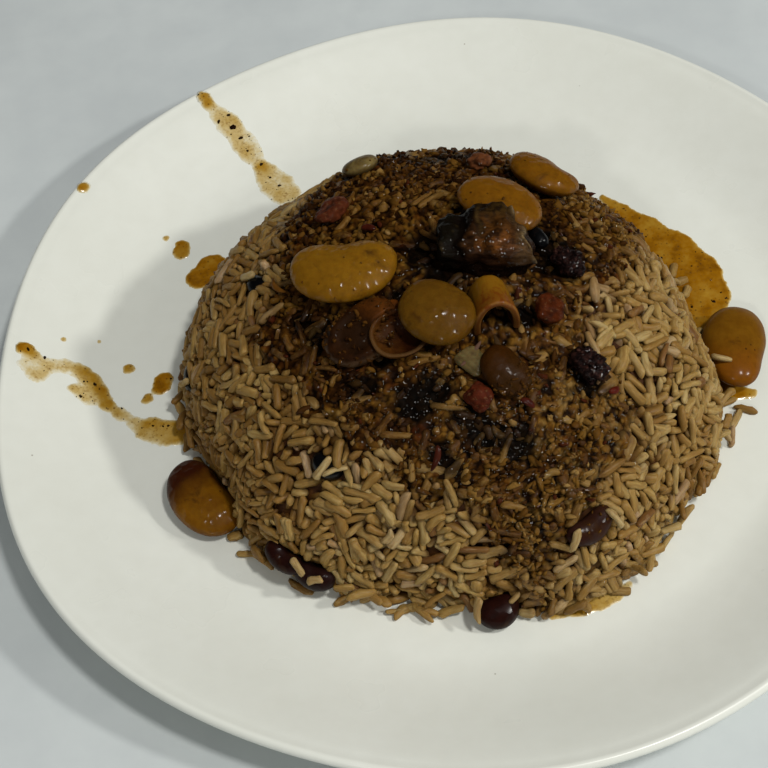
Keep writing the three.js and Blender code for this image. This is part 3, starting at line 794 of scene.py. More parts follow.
def rice_material(name, wet):
    m = Nodes(name)
    tint, sauce, night = m.attr("rice")
    deep = m.add("ShaderNodeAttribute", attribute_name="rice").outputs["Alpha"]
    own = m.add("ShaderNodeAttribute", attribute_name="grain").outputs["Vector"]
    streak = m.noise(0.9, 3, 0.6, vector=own, stretch=(0.22, 1.0, 1.0))
    dry = m.ramp(tint, [
        (0.0, (108, 77, 29)), (0.2, (132, 100, 46)), (0.45, (148, 119, 64)), (0.65, (157, 131, 78)),
        (0.85, (165, 144, 97)), (0.93, (156, 130, 96)), (1.0, (98, 64, 30)),
    ])
    dry = m.mix(m.remap(streak, 0.36, 0.56, 0.55, 0.0), dry, (112, 82, 38))
    # pale streaks along the grain: partly the grain's own tone, partly painted highlight
    dry = m.mix(m.remap(streak, 0.54, 0.72, 0.0, 0.35), dry, (173, 153, 109))
    dry = m.mix(m.remap(m.noise(13, 3), 0.42, 0.68, 0.0, 0.4), dry, (124, 88, 38))
    soaked = m.ramp(m.math("ADD", m.math("MULTIPLY", tint, 0.5), m.math("MULTIPLY", streak, 0.5)), [
        (0.15, (34, 16, 4)), (0.34, (60, 35, 9)), (0.5, (86, 56, 18)), (0.64, (108, 78, 32)), (0.85, (132, 104, 56)),
    ])
    film = m.math("MULTIPLY", sauce, m.remap(m.noise(2.4, 3), 0.25, 0.7, 1.2, 0.7))
    col = m.mix(m.remap(film, 0.05, 0.9), dry, soaked)
    # painted shade: grains that lie deeper under the heap's outline are darkened, as the gaps between the top grains
    # are shaded
    col = m.mix(m.math("MULTIPLY", deep, 0.74), col, (62, 29, 4))
    col = m.mix(m.remap(night, 0.25, 0.8, 0.0, 0.82), col, (18, 8, 4))
    bump = m.bump(m.noise(0.8, 3), 0.3, 0.1)
    bump = m.bump(streak, 0.5, 0.12, bump)
    m.set(IOR=1.4, Roughness=0.5, Specular_IOR_Level=0.12 if wet else 0.2, Coat_Weight=0.2 if wet else 0.03, Coat_Roughness=0.05 if wet else 0.2)
    m.set(Subsurface_Weight=0.15 if wet else 0.35, Subsurface_Scale=0.001)
    m.bsdf.inputs["Subsurface Radius"].default_value = (1.0, 0.65, 0.3)
    return m.finish(col, None, bump, m.dimples(2.4, 0.55, True) if wet else None)


def core_material():
    # painted shade: the core stands for the grains further down and is coloured far darker than rice, so the gaps
    # between the top grains look shaded
    m = Nodes("rice_core")
    n = m.noise(2.2, 4)
    col = m.ramp(n, [(0.3, (36, 16, 4)), (0.5, (58, 31, 8)), (0.7, (80, 48, 16))])
    bump = m.bump(m.noise(1.3, 4), 0.6, 0.4)
    m.set(IOR=1.4, Specular_IOR_Level=0.2)
    return m.finish(col, m.remap(n, 0.3, 0.7, 0.7, 0.55), bump)


def gravy_material():
    m = Nodes("thick_gravy")
    thick, night, high = m.attr("gravy")
    tint, _, _ = m.attr("lump")
    body = m.ramp(m.math("ADD", m.math("MULTIPLY", tint, 0.62), m.math("MULTIPLY", m.noise(1.1, 4), 0.38)), [
        (0.12, (24, 10, 2)), (0.3, (49, 26, 5)), (0.46, (77, 47, 11)), (0.6, (100, 68, 20)), (0.74, (108, 80, 36)), (0.9, (120, 96, 55)),
    ])
    red = m.remap(m.noise(6, 3), 0.53, 0.67, 0.0, 0.5)
    body = m.mix(red, body, (72, 30, 8))
    # painted shade: the low places between the lumps are near black, and the lumps' tops take the lighter body colour
    gap = m.ramp(m.noise(2.0, 4), [(0.35, (12, 5, 2)), (0.6, (26, 12, 3)), (0.8, (44, 23, 5))])
    col = m.mix(m.remap(high, 0.25, 0.75), gap, body)
    black = m.ramp(m.noise(1.6, 4), [(0.35, (3, 2, 1)), (0.55, (7, 4, 2)), (0.75, (22, 11, 4))])
    col = m.mix(m.remap(night, 0.2, 0.65, 0.0, 0.96), col, black)
    bump = m.bump(m.noise(0.7, 3), 0.5, 0.16)
    m.set(IOR=1.4, Roughness=0.5, Specular_IOR_Level=0.02, Coat_Weight=0.16, Coat_Roughness=0.05)
    return m.finish(col, None, bump, m.dimples(2.2, 0.5, True))


# Pits in the heap's skin: a point on the skin, and the pit's radius.
PITS = (((33.9, -29.6, 58.1), 3.2), ((39.2, -29.1, 55.9), 3.0), ((-56.6, 0.1, 53.5), 3.4), ((-37.2, -62.4, 45.4), 2.6),
        ((-43.4, -58.4, 45.7), 2.6))

# Grains that lie across a bean: the bean, how far along and across it, turn from its long axis, length.
OVER = (
    ("kidney_bean_front_mid", -0.6, 0.75, 125, 7.6), ("kidney_bean_front_mid", 0.3, 0.55, 30, 4.8),
    ("black_bean_mid_left", 0.0, 0.0, 75, 7.6), ("black_bean_mid_left", 0.75, 0.3, 40, 6.4),
    ("kidney_bean_left", 0.5, 0.3, 70, 6.6), ("kidney_bean_right", -0.85, 0.3, 50, 6.8),
    ("kidney_bean_right", 0.9, -0.2, 95, 6.6), ("kidney_bean_front", -0.9, 0.5, 60, 6.6),
    ("kidney_bean_front", 0.95, 0.3, 30, 6.2), ("kidney_bean_upper_left", -0.7, 0.2, 20, 6.2),
    ("butter_bean_plate_right", 0.6, -0.5, 90, 6.4),
)

# Grains lying loose on the plate: place, heading in degrees, length.
LOOSE = ((76.2, -35.6, 55, 7.6), (79.9, -32.6, 152, 7.2), (73.7, -41.2, 75, 7.0), (74.9, -29.4, 20, 5.2),
         (-63.2, -60.4, 6, 7.6), (-68.6, -59.4, 172, 6.6), (-84.6, -18.0, 100, 5.6), (70.4, 22.6, 70, 6.0),
         (72.2, 18.2, 20, 4.2), (72.6, 13.6, 60, 4.6))


def build_rice():
    rng = np.random.default_rng(SEED)
    c, u, length, rad = pack_grains(6350, 64, rng)
    # grains that came to lie side by side in a bundle are turned apart
    A, B = near_pairs(c, 3.3)
    side = np.abs(np.einsum("ij,ij->i", u[A], u[B])) > 0.93
    mates = np.bincount(A[side], minlength=len(c)) + np.bincount(B[side], minlength=len(c))
    turn = np.random.default_rng(SEED + 40).normal(0, 1, len(c)) * np.where(mates > 1, 0.46, 0.06)
    knot = np.linalg.norm(c - np.array([36.9, -32.7, 56.2]), axis=1) < 6.5
    turn[knot] = np.where(np.arange(knot.sum()) % 2, 0.75, -0.55)
    out = heap_depth(c)[1]
    u = units(u * np.cos(turn)[:, None] + np.cross(out, u) * np.sin(turn)[:, None])
    keep = np.ones(len(c), bool)
    for name, piece in PIECES.items():
        R, at = frame_of(piece)
        v = (c - at) @ R.T
        half = np.array(piece["size"]) / 2
        foot = (v[:, 0] / (half[0] + 0.3)) ** 2 + (v[:, 1] / (half[1] + 0.3)) ** 2 < 1
        over = foot & (v[:, 2] > 0.15 * half[2]) & (v[:, 2] < half[2] + 9)
        keep &= ~over & ~(((v / (half + 0.3)) ** 2).sum(1) < 1)
    for at, r in PITS:
        keep &= np.linalg.norm(c - at, axis=1) > r
    covered = gravy_at(c)
    night = dark_at(c) * covered
    keep &= rng.uniform(size=len(c)) > 0.2 * smoothstep(covered, 0.45, 1.0) + 0.5 * night
    deep = heap_depth(c)[0] - unrest(c)
    keep &= deep < 4.0
    keep &= (rng.uniform(size=len(c)) > 0.04) | (deep > 2.2)
    c, u, length, rad, covered = c[keep], u[keep], length[keep], rad[keep], covered[keep]
    soft = (rng.uniform(size=len(c)) < 0.4) & (covered > 0.4)
    length[soft] = np.maximum(3.0, length[soft] * rng.uniform(0.5, 0.9, soft.sum()))
    _, out = heap_depth(c)
    c = c - out * (0.35 * covered + 0.5 * dark_at(c) * covered)[:, None]
    # grains that lie out at the foot of the heap
    foot = []
    for t in rng.uniform(0, 2 * np.pi, 110):
        p = heap_point(np.array([t]), np.array([rng.uniform(0.0, 0.13)]))[0]
        away = (p[:2] - HC) / np.linalg.norm(p[:2] - HC)
        p[:2] += away * rng.uniform(-1.0, 0.8)
        turn, rise, long, thick = t + rng.normal(1.57, 0.6), rng.uniform(-0.3, 0.6), rng.uniform(4.6, 8.6), rng.uniform(1.05, 1.3)
        d = np.array([math.cos(turn), math.sin(turn), rise])
        d /= np.linalg.norm(d)
        p[2] = max(p[2], plate_top(*p[:2]).item() + thick * 0.9 + abs(d[2]) * long * 0.45)
        inside = False
        for piece in PIECES.values():
            R, at = frame_of(piece)
            inside |= (((R @ (p - at)) / (np.array(piece["size"]) / 2 + 2.2)) ** 2).sum() < 1
        if not inside:
            foot.append((p, d, long, thick))
    c = np.concatenate([c, [e[0] for e in foot]])
    u = np.concatenate([u, [e[1] for e in foot]])
    length = np.concatenate([length, [e[2] for e in foot]])
    rad = np.concatenate([rad, [e[3] for e in foot]])
    extra = []
    for name, along, across, turn, long in OVER:
        piece = PIECES[name]
        R, at = frame_of(piece)
        L, W, T = np.array(piece["size"]) / 2
        top = T * math.sqrt(max(0.05, 1 - 0.8 * along**2 - 0.8 * across**2))
        p = at + np.array([along * L, across * W, top + 0.85]) @ R
        d = np.array([math.cos(turn * DEG), math.sin(turn * DEG), -0.25 * along]) @ R
        extra.append((p, d / np.linalg.norm(d), long, 1.4 if name == "butter_bean_plate_right" else 1.08))
    for x, y, turn, long in LOOSE:
        z = plate_top(x, y).item() + 0.98
        extra.append((np.array([x, y, z]), np.array([math.cos(turn * DEG), math.sin(turn * DEG), 0.0]), long, 1.2))
    c = np.concatenate([c, [e[0] for e in extra]])
    u = np.concatenate([u, [e[1] for e in extra]])
    length = np.concatenate([length, [e[2] for e in extra]])
    rad = np.concatenate([rad, [e[3] for e in extra]])
    n = len(c)
    roll = rng.uniform(0, 2 * np.pi, n)
    bend = rng.normal(0, 0.28, (n, 2))
    blunt = np.clip(rng.normal(10.5, 4.0, n), 4.0, 20)
    blunt[length < 5] = 12
    point = rng.uniform(-1, 1, n)
    tint = np.clip(rng.beta(2.2, 2.2, n), 0, 0.9)
    # grains on the left, the side away from the key lamp, get a darker tint as painted shade; those low at the front
    # right get a browner tint where sauce stains them
    away = 0.2 * smoothstep(-c[:, 0], 20, 68) + 0.12 * smoothstep(-c[:, 0], 48, 64) + 0.26 * smoothstep(c[:, 0], 32, 60) * smoothstep(-c[:, 1], 38, 60)
    tint = np.clip(tint - away, 0, 0.9)
    tint[rng.uniform(size=n) < 0.03] = 0.93
    tint[rng.uniform(size=n) < 0.03] = 1.0
    tint[n - len(extra):n - len(LOOSE)] = 0.86
    loose = np.arange(n) >= n - len(LOOSE)
    sauce = np.where(loose, 0, gravy_at(c, rng.normal(0, 1.5, n)))
    stain = smoothstep(c[:, 0], 30, 55) * smoothstep(-c[:, 1], 34, 58) * smoothstep(noise(c, 7.0, 91), -0.2, 0.5)
    soaked = smoothstep(c[:, 0], 8, 18) * smoothstep(-c[:, 0], -46, -36) * smoothstep(-c[:, 1], 72, 82) * smoothstep(-c[:, 2], -17, -10)
    sauce = np.where(loose, 0, np.maximum(sauce, np.maximum(0.28 * stain, 0.7 * soaked)))
    wet = sauce > 0.3
    whole = length >= 5.05
    middle = np.median(length[~wet & whole])
    kinds = {
        "rice_long_grains": ~wet & whole & (length >= middle),
        "rice_short_grains": ~wet & whole & (length < middle),
        "rice_broken_grains": ~wet & ~whole,
        "rice_gravy_grains": wet,
    }
    mats = {True: rice_material("rice_in_gravy", True), False: rice_material("rice_plain", False)}
    first = True
    for name, pick in kinds.items():
        k = int(pick.sum())
        V, faces, s, m, local = grain_meshes(c[pick], u[pick], roll[pick], length[pick], rad[pick], bend[pick], blunt[pick], point[pick], rng)
        sv = gravy_at(V) * 0.5 + np.repeat(sauce[pick], m) * 0.5
        dv, _ = heap_depth(V)
        sv = np.clip(sv + 0.25 * sv * smoothstep(dv, 0.8, 3.0), 0, 1)
        sv = np.where(np.repeat(loose[pick], m), 0, sv)
        # how far each point lies under the loose surface, which the rice material turns into painted shade
        below = smoothstep(dv - unrest(V), 0.9, 3.4)
        below[np.repeat(loose[pick], m)] = 0
        attr = np.stack([np.repeat(tint[pick], m), sv, dark_at(V) * sv, below], 1)
        to_piece(name, V, faces, mats[name == "rice_gravy_grains"],
                 replaces=("rice_mound",) if first else (), attrs={"rice": attr, "grain": local, "skin": with_one(heap_depth(V)[1])})
        first = False
    return c


def skin_relief(S, sauce, night):
    """Depth of the gravy's surface under the heap's outline, how high each point stands on its lump, and the lump's tint."""
    wave = np.stack([noise(S, 3.0, 61), noise(S, 3.0, 62), noise(S, 3.0, 63)], 1)
    d1, t1 = cells(S + 0.8 * wave, 2.9, 3)
    d2, t2 = cells(S + 0.5 * wave, 1.55, 4)
    lump = np.clip(1 - (d1 / 0.78) ** 2, 0, 1)
    crumb = np.clip(1 - (d2 / 0.80) ** 2, 0, 1)
    calm = 1 - 0.65 * night
    level = (2.35 + 3.4 * smoothstep(-sauce, -0.45, -0.08) - (1.0 * lump * (0.5 + t1) + 0.45 * crumb) * calm
             - 0.8 * fbm(S, 6, 2, 2) + 0.4 * night + 1.3 * smoothstep(-S[:, 1], 64, 76))
    high = np.clip(0.25 + 0.75 * crumb * (0.45 + 0.55 * lump) - 0.2 * (1 - lump), 0, 1)
    return level, high, np.clip(0.36 * t1 + 0.36 * t2 + 0.12 + gravy_tone(S), 0, 1)


def build_core():
    nu, nv = 240, 76
    th = 2 * np.pi * np.arange(nu) / nu
    ph = np.linspace(0, np.pi / 2, nv + 1)[:-1]
    TH, PH = np.meshgrid(th, ph)
    S = heap_point(TH.ravel(), PH.ravel())
    _, out = heap_depth(S)
    level = 3.5 + 0.9 * fbm(S, 3.4, 3, 2) + unrest(S)
    for at, r in PITS:
        level = level + 1.2 * np.exp(-((np.linalg.norm(S - at, axis=1) / r) ** 2))
    V = S - out * level[:, None]
    V[:, 2] = np.maximum(V[:, 2], 6.1)
    V = np.concatenate([V, [[*HC, 6.1]], [V[-nu:].mean(0)]])
    tris = np.concatenate([cap_faces(nu, 0, nu * nv, flip=True), cap_faces(nu, nu * (nv - 1), nu * nv + 1)])
    to_piece("rice_core", V, [grid_faces(nu, nv), tris], core_material())


def build_gravy():
    nu, nv = 600, 196
    th = 2 * np.pi * np.arange(nu) / nu
    ph = np.linspace(0.03, np.pi / 2, nv + 1)[:-1]
    TH, PH = np.meshgrid(th, ph)
    S = heap_point(TH.ravel(), PH.ravel())
    _, out = heap_depth(S)
    sauce = gravy_at(S)
    night = dark_at(S) * smoothstep(sauce, 0.2, 0.7)
    level, high, tint = skin_relief(S, sauce, night)
    V = S - out * level[:, None]
    V = np.concatenate([V, [V[-nu:].mean(0)]])
    quads = grid_faces(nu, nv)
    quads = quads[(sauce[quads] > 0.06).any(1)]
    tris = cap_faces(nu, nu * (nv - 1), nu * nv)
    attr, lump = np.ones((len(V), 4)), np.ones((len(V), 4))
    attr[:-1, 0], attr[:-1, 1], attr[:-1, 2] = sauce, night, high
    lump[:-1, 0] = tint
    # the sheet's open edge is drawn down to one point deep in the rice, which closes it
    edges = np.concatenate([np.stack([f, np.roll(f, -1, 1)], 2).reshape(-1, 2) for f in (quads, tris)])
    code = edges[:, 0] * len(V) + edges[:, 1]
    open_edge = edges[~np.isin(code, edges[:, 1] * len(V) + edges[:, 0])]
    V = np.concatenate([V, [[HC[0] + 6, HC[1] - 8, 24.0]]])
    attr = np.concatenate([attr, [[1, 0, 0, 1]]])
    lump = np.concatenate([lump, [[0, 0, 0, 1]]])
    wall = np.stack([open_edge[:, 1], open_edge[:, 0], np.full(len(open_edge), len(V) - 1)], 1)
    V, faces, both = drop_unused(V, [quads, np.concatenate([tris, wall])], np.concatenate([attr, lump], 1))
    to_piece("thick_gravy", V, faces, gravy_material(), attrs={"gravy": both[:, :4], "lump": both[:, 4:], "skin": with_one(heap_depth(V)[1])})


def drop_unused(V, faces, attr):
    used = np.unique(np.concatenate([f.ravel() for f in faces]))
    at = np.zeros(len(V), int)
    at[used] = np.arange(len(used))
    return V[used], [at[f] for f in faces], attr[used]


def lumps(centres, radii, rng, around=6, along=4, flat=None, uneven=0.22, long=0.0):
    """Joined small uneven lumps."""
    T, quads, tris = ball(around, along)
    n, m = len(centres), len(T)
    turn = units(rng.normal(size=(n, 3)))
    side = units(np.cross(turn, rng.normal(size=(n, 3))))
    third = np.cross(turn, side)
    size = radii[:, None] * rng.uniform(0.65, 1.35, (n, 3)) * (1 + long * np.array([1.0, -0.25, -0.5]))
    jig = 1 + uneven * rng.normal(size=(n, m))
    D = T[None] * jig[..., None]
    V = (turn[:, None] * (D[..., :1] * size[:, None, :1]) + side[:, None] * (D[..., 1:2] * size[:, None, 1:2])
         + third[:, None] * (D[..., 2:] * size[:, None, 2:]))
    if flat is not None:
        V[..., 2] *= flat
    V = (V + centres[:, None]).reshape(-1, 3)
    off = (np.arange(n) * m)[:, None, None]
    return V, [(quads[None] + off).reshape(-1, 4), (tris[None] + off).reshape(-1, 3)], m


def crumb_material():
    m = Nodes("gravy_crumbs")
    tint, red, night = m.attr("crumb")
    col = m.ramp(tint, [
        (0.0, (26, 10, 3)), (0.22, (50, 27, 6)), (0.45, (77, 48, 13)), (0.65, (102, 71, 24)), (0.82, (116, 85, 37)), (1.0, (136, 107, 59)),
    ])
    col = m.mix(m.remap(red, 0.5, 0.6), col, (60, 24, 9))
    col = m.mix(m.remap(m.noise(0.8, 3), 0.4, 0.7, 0.0, 0.4), col, (60, 38, 14))
    col = m.mix(m.remap(night, 0.2, 0.7, 0.0, 0.85), col, (16, 8, 4))
    bump = m.bump(m.noise(0.5, 3), 0.4, 0.08)
    m.set(IOR=1.42, Roughness=0.5, Specular_IOR_Level=0.02, Coat_Weight=0.18, Coat_Roughness=0.05)
    return m.finish(col, None, bump, m.dimples(2.2, 0.5, True))


def build_crumbs():
    """Mashed bean, spice and onion in the gravy, finer than rice."""
    rng = np.random.default_rng(SEED + 5)
    th = rng.uniform(0, 2 * np.pi, 30000)
    ph = np.arcsin(rng.uniform(0.04, 1, 30000))
    S = heap_point(th, ph)
    d, out = heap_depth(S)
    sauce = gravy_at(S)
    chance = smoothstep(sauce, 0.25, 0.9) * (0.55 + 0.45 * noise(S, 9, 3)) * np.cos(ph) ** 0.3
    pick = rng.uniform(size=len(S)) < chance * 0.62 * (1 - 0.75 * dark_at(S))
    S, out = S[pick], out[pick]
    for piece in PIECES.values():
        R, at = frame_of(piece)
        v = (S - at) @ R.T
        half = np.array(piece["size"]) / 2
        clear = (v[:, 0] / half[0]) ** 2 + (v[:, 1] / half[1]) ** 2 > 1
        S, out = S[clear], out[clear]
    S, out = S[:2600], out[:2600]
    n = len(S)
    r = np.clip(np.exp(rng.normal(-0.36, 0.32, n)), 0.36, 1.6)
    V, faces, m = lumps(S - out * (rng.uniform(0.5, 1.6, n) + r * 0.35)[:, None], r, rng, long=0.55)
    tint = np.clip(rng.beta(1.8, 2.2, n) * 0.8 + 0.1 + 0.8 * gravy_tone(S), 0, 1)
    attr = np.ones((len(V), 4))
    attr[:, 2] = np.repeat(dark_at(S), m)
    attr[:, 0] = np.repeat(tint, m)
    attr[:, 1] = np.repeat(rng.uniform(size=n) < 0.035, m)
    to_piece("gravy_crumbs", V, faces, crumb_material(), attrs={"crumb": attr, "skin": with_one(heap_depth(V)[1])})


# ------------------------------------------------------------------ beans


def bean_shape(dirs, piece):
    """Points of a bean for unit directions, in its own axes."""
    L, W, D = piece["size"]
    s, y, z = dirs.T
    blunt = np.maximum(1 - s * s, 1e-9) ** -0.08
    taper = piece.get("taper", 0)
    dent = piece.get("notch", 0) * np.exp(-(((s - piece.get("notch_at", 0)) / 0.36) ** 2)) * smoothstep(y, -0.35, 0.8)
    return np.stack([
        L / 2 * s,
        W / 2 * y * blunt * (1 + taper * s) + piece.get("bend", 0) * (s * s - 0.3) - dent,
        D / 2 * z * blunt * (1 + 0.5 * taper * s),
    ], 1)


def outward(V, size):
    return units(V / (np.array(size) / 2) ** 2)


def bean_points(piece, around, along, uneven, seed, wrinkle=0.0):
    T, quads, tris = ball(around, along)
    V = bean_shape(T, piece)
    N = outward(V, piece["size"])
    off = uneven * fbm(V + seed * 31.7, 6.0, 3, seed)
    if wrinkle:
        # fine creases of the skin, running across the bean
        w = fbm((V + seed * 11.3) * [1.0, 0.45, 0.45], 2.4, 2, seed + 3)
        off = off - wrinkle * (1 - np.abs(w) * 3).clip(0, 1) ** 2
    off = off + 0.10 * np.exp(-((V[:, 2] / 0.5) ** 2))  # the seam between the halves
    V = V + N * off[:, None]
    local = np.stack([T[:, 0] * 0.5 + 0.5, T[:, 1] * 0.5 + 0.5, T[:, 2] * 0.5 + 0.5, np.ones(len(T))], 1)
    return lay(V, piece), [quads, tris], local


def bean_material(name, light, mid, dark, end=None, gravy=0.25, sss=0.2, gloss=0.2, dots=0.35, broken=0.8, rough=0.16, ir=1.42):
    """end: a colour, and the places along the bean where it starts and is full."""
    m = Nodes(name)
    along, across, above = m.attr("bean")
    col = m.ramp(m.noise(9, 3), [(0.3, mid), (0.55, light), (0.75, mid)])
    if end:
        col = m.mix(m.remap(m.math("ADD", along, m.math("MULTIPLY", m.noise(6, 3), 0.25)), end[1] + 0.12, end[2] + 0.12), col, end[0])
    col = m.mix(m.remap(m.noise(1.8, 4), 0.4, 0.75, 0.0, 0.35), col, dark)
    # painted shade: the lower half of the bean, along its thickness, is darkened towards its dark colour
    low = m.remap(above, 0.30, 0.66, 0.8, 0.0)
    col = m.mix(low, col, dark)
    smear = m.remap(m.noise(6.5, 4, 0.6, distortion=0.6), 0.64 - 0.24 * gravy, 0.82 - 0.24 * gravy, 0.0, 0.75)
    col = m.mix(smear, col, (50, 28, 9))
    bits = m.remap(m.voronoi(2.8), 0.09, 0.15, 0.8, 0.0)
    few = m.remap(m.noise(7, 2), 0.56, 0.62, 0.0, 1.0)
    col = m.mix(m.math("MULTIPLY", bits, few), col, (38, 20, 8))
    bump = m.bump(m.noise(3.2, 3), 0.25, 0.2)
    # the wet film is dimpled, which breaks a highlight into dots
    film = m.dimples(2.1, 0.11 * broken)
    bump = m.bump(m.noise(0.7, 2), dots, 0.12, bump)
    m.set(IOR=ir, Roughness=0.45, Specular_IOR_Level=0.05, Coat_Weight=0.1 + gloss * 0.7, Coat_Roughness=rough, Coat_IOR=1.4)
    m.set(Subsurface_Weight=sss, Subsurface_Scale=0.0018)
    m.bsdf.inputs["Subsurface Radius"].default_value = (1.0, 0.45, 0.12)
    return m.finish(col, None, bump, film)


def build_beans():
    butter = bean_material("butter_bean_skin", (120, 82, 12), (106, 70, 8), (66, 40, 4), gloss=0.34, broken=2.3)
    middle = bean_material("butter_bean_muted", (90, 60, 9), (80, 50, 7), (48, 28, 3), dots=0.5, gloss=0.28, broken=1.9)
    orange = bean_material("butter_bean_orange", (110, 70, 7), (98, 60, 5), (62, 35, 3), gloss=0.28, broken=1.7)
    # the dark far end of this bean is painted shade
    plate_l = bean_material("butter_bean_brown", (118, 77, 10), (104, 64, 7), (62, 31, 4), end=((52, 20, 6), 0.56, 0.24), gloss=0.32, broken=2.0)
    plate_r = bean_material("butter_bean_smooth", (108, 71, 9), (97, 61, 5), (74, 43, 4), end=((112, 65, 6), 0.55, 0.85), gravy=0.0, dots=0.05, gloss=0.16, broken=0.05)
    olive = bean_material("bean_in_clear_gravy", (47, 27, 3), (33, 19, 2), (16, 8, 1), end=((50, 25, 2), 0.65, 0.3), gravy=0.9, sss=0.1, gloss=0.04, broken=1.4)
    lima = bean_material("lima_bean_skin", (116, 100, 58), (98, 82, 44), (60, 44, 20), gravy=0.75)
    kidney = bean_material("kidney_bean_skin", (33, 11, 7), (22, 7, 5), (11, 4, 3), gravy=0.4, sss=0.05, gloss=0.06, broken=1.4)
    purple = bean_material("kidney_bean_purple", (47, 24, 17), (35, 17, 12), (18, 8, 6), gravy=0.6, sss=0.05, gloss=0.03, broken=1.4)
    night = bean_material("kidney_bean_dark", (31, 13, 10), (21, 9, 7), (10, 5, 4), gravy=0.3, sss=0.05, gloss=0.06, broken=1.4)
    black = bean_material("black_bean_skin", (9, 9, 11), (6, 6, 7), (3, 3, 3), gravy=0.0, sss=0.0, gloss=0.6, dots=0.1, broken=0.6, rough=0.08)
    look = {
        "butter_bean_left": butter, "butter_bean_middle": middle, "butter_bean_behind": orange, "butter_bean_back": orange,
        "butter_bean_plate_left": plate_l, "butter_bean_plate_right": plate_r, "butter_bean_front": olive,
        "lima_bean_back": lima, "kidney_bean_right": purple, "kidney_bean_front_mid": night, "kidney_bean_left": black, "kidney_bean_upper_left": black,
        "black_bean_mid_left": black, "black_bean_behind_meat": black,
    }
    for i, (name, piece) in enumerate(PIECES.items()):
        if piece["shape"] != "bean" or name == "butter_bean_gravy":
            continue
        small = piece["size"][0] < 15
        V, faces, local = bean_points(piece, 36 if small else 72, 24 if small else 44, 0.08 if small else 0.16, i + 1,
                                      0.0 if small or "plate" in name else 0.10)
        to_piece(name + "_skin", V, faces, look.get(name, kidney),
                 replaces=(name,), attrs={"bean": local})


# ------------------------------------------------------------------ the bean under gravy, the split bean and the arched skin


def yield_to(V, piece, above, gap=0.25):
    """Presses a piece's points down where the cup of a split bean lies in it."""
    R, at = frame_of(piece)
    Ra, ata = frame_of(above)
    W = V @ R + at
    v = (W - ata) @ Ra.T
    L, B, D = np.array(above["size"]) / [2, 2, 1] + gap
    e = (v[:, 0] / L) ** 2 + (v[:, 1] / B) ** 2
    most = -D * np.sqrt(np.maximum(1 - e, 0)) - 0.1
    v[:, 2] = np.where((e < 1) & (v[:, 2] > most), most, v[:, 2])
    return (v @ Ra + ata - at) @ R.T


def build_sunk_bean():
    """A butter bean whose skin has slumped: a low rim round a gravy-filled hollow."""
    piece = PIECES["butter_bean_gravy"]
    T, quads, tris = ball(84, 56)
    V = bean_shape(T, piece)
    L, W, D = piece["size"]
    e = np.hypot(V[:, 0] / (L / 2), V[:, 1] / (W / 2))
    top = smoothstep(T[:, 2], 0.0, 0.35)
    hollow = 1.5 * top * smoothstep(-e, -0.84, -0.45) * smoothstep(-V[:, 0], -5.5, -1.0)
    V[:, 2] -= hollow
    V += outward(V, piece["size"]) * (0.22 * fbm(V, 4.5, 3, 21))[:, None]
    V = yield_to(V, piece, PIECES["butter_bean_split"])
    attr = np.ones((len(V), 4))
    attr[:, 0] = np.clip(hollow / 1.5, 0, 1)
    attr[:, 1] = smoothstep(V[:, 0] + 0.35 * V[:, 1], 1.5, 6.5)
    # the skin's thin edge on the front-left side only, where it is made pale as a painted highlight
    attr[:, 2] = smoothstep(e, 0.88, 0.97) * smoothstep(T[:, 2], -0.2, 0.1) * smoothstep(-V[:, 0] - V[:, 1], -4, 6)
    m = Nodes("sunk_bean_skin")
    inner, orange, rim = m.attr("sunk")
    col = m.ramp(m.noise(4, 4), [(0.3, (24, 11, 3)), (0.55, (40, 19, 4)), (0.75, (54, 29, 8))])
    col = m.mix(m.math("MULTIPLY", inner, 0.7), col, (34, 19, 7))
    col = m.mix(m.math("MULTIPLY", orange, m.remap(m.noise(3.0, 3), 0.35, 0.65, 0.9, 0.2)), col, (84, 44, 8))
    # painted highlight: the rim on the front-left side is made pale
    col = m.mix(m.math("MULTIPLY", rim, m.remap(m.noise(4, 2), 0.35, 0.6, 0.2, 0.75)), col, (74, 54, 34))
    bump = m.bump(m.noise(1.4, 4), 0.7, 0.3)
    film = m.dimples(2.2, 0.25)
    m.set(IOR=1.42, Roughness=0.5, Specular_IOR_Level=0.06, Coat_Weight=0.1, Coat_Roughness=0.05)
    to_piece("butter_bean_gravy_skin", lay(V, piece), [quads, tris], m.finish(col, None, bump, film), replaces=("butter_bean_gravy",), attrs={"sunk": attr})


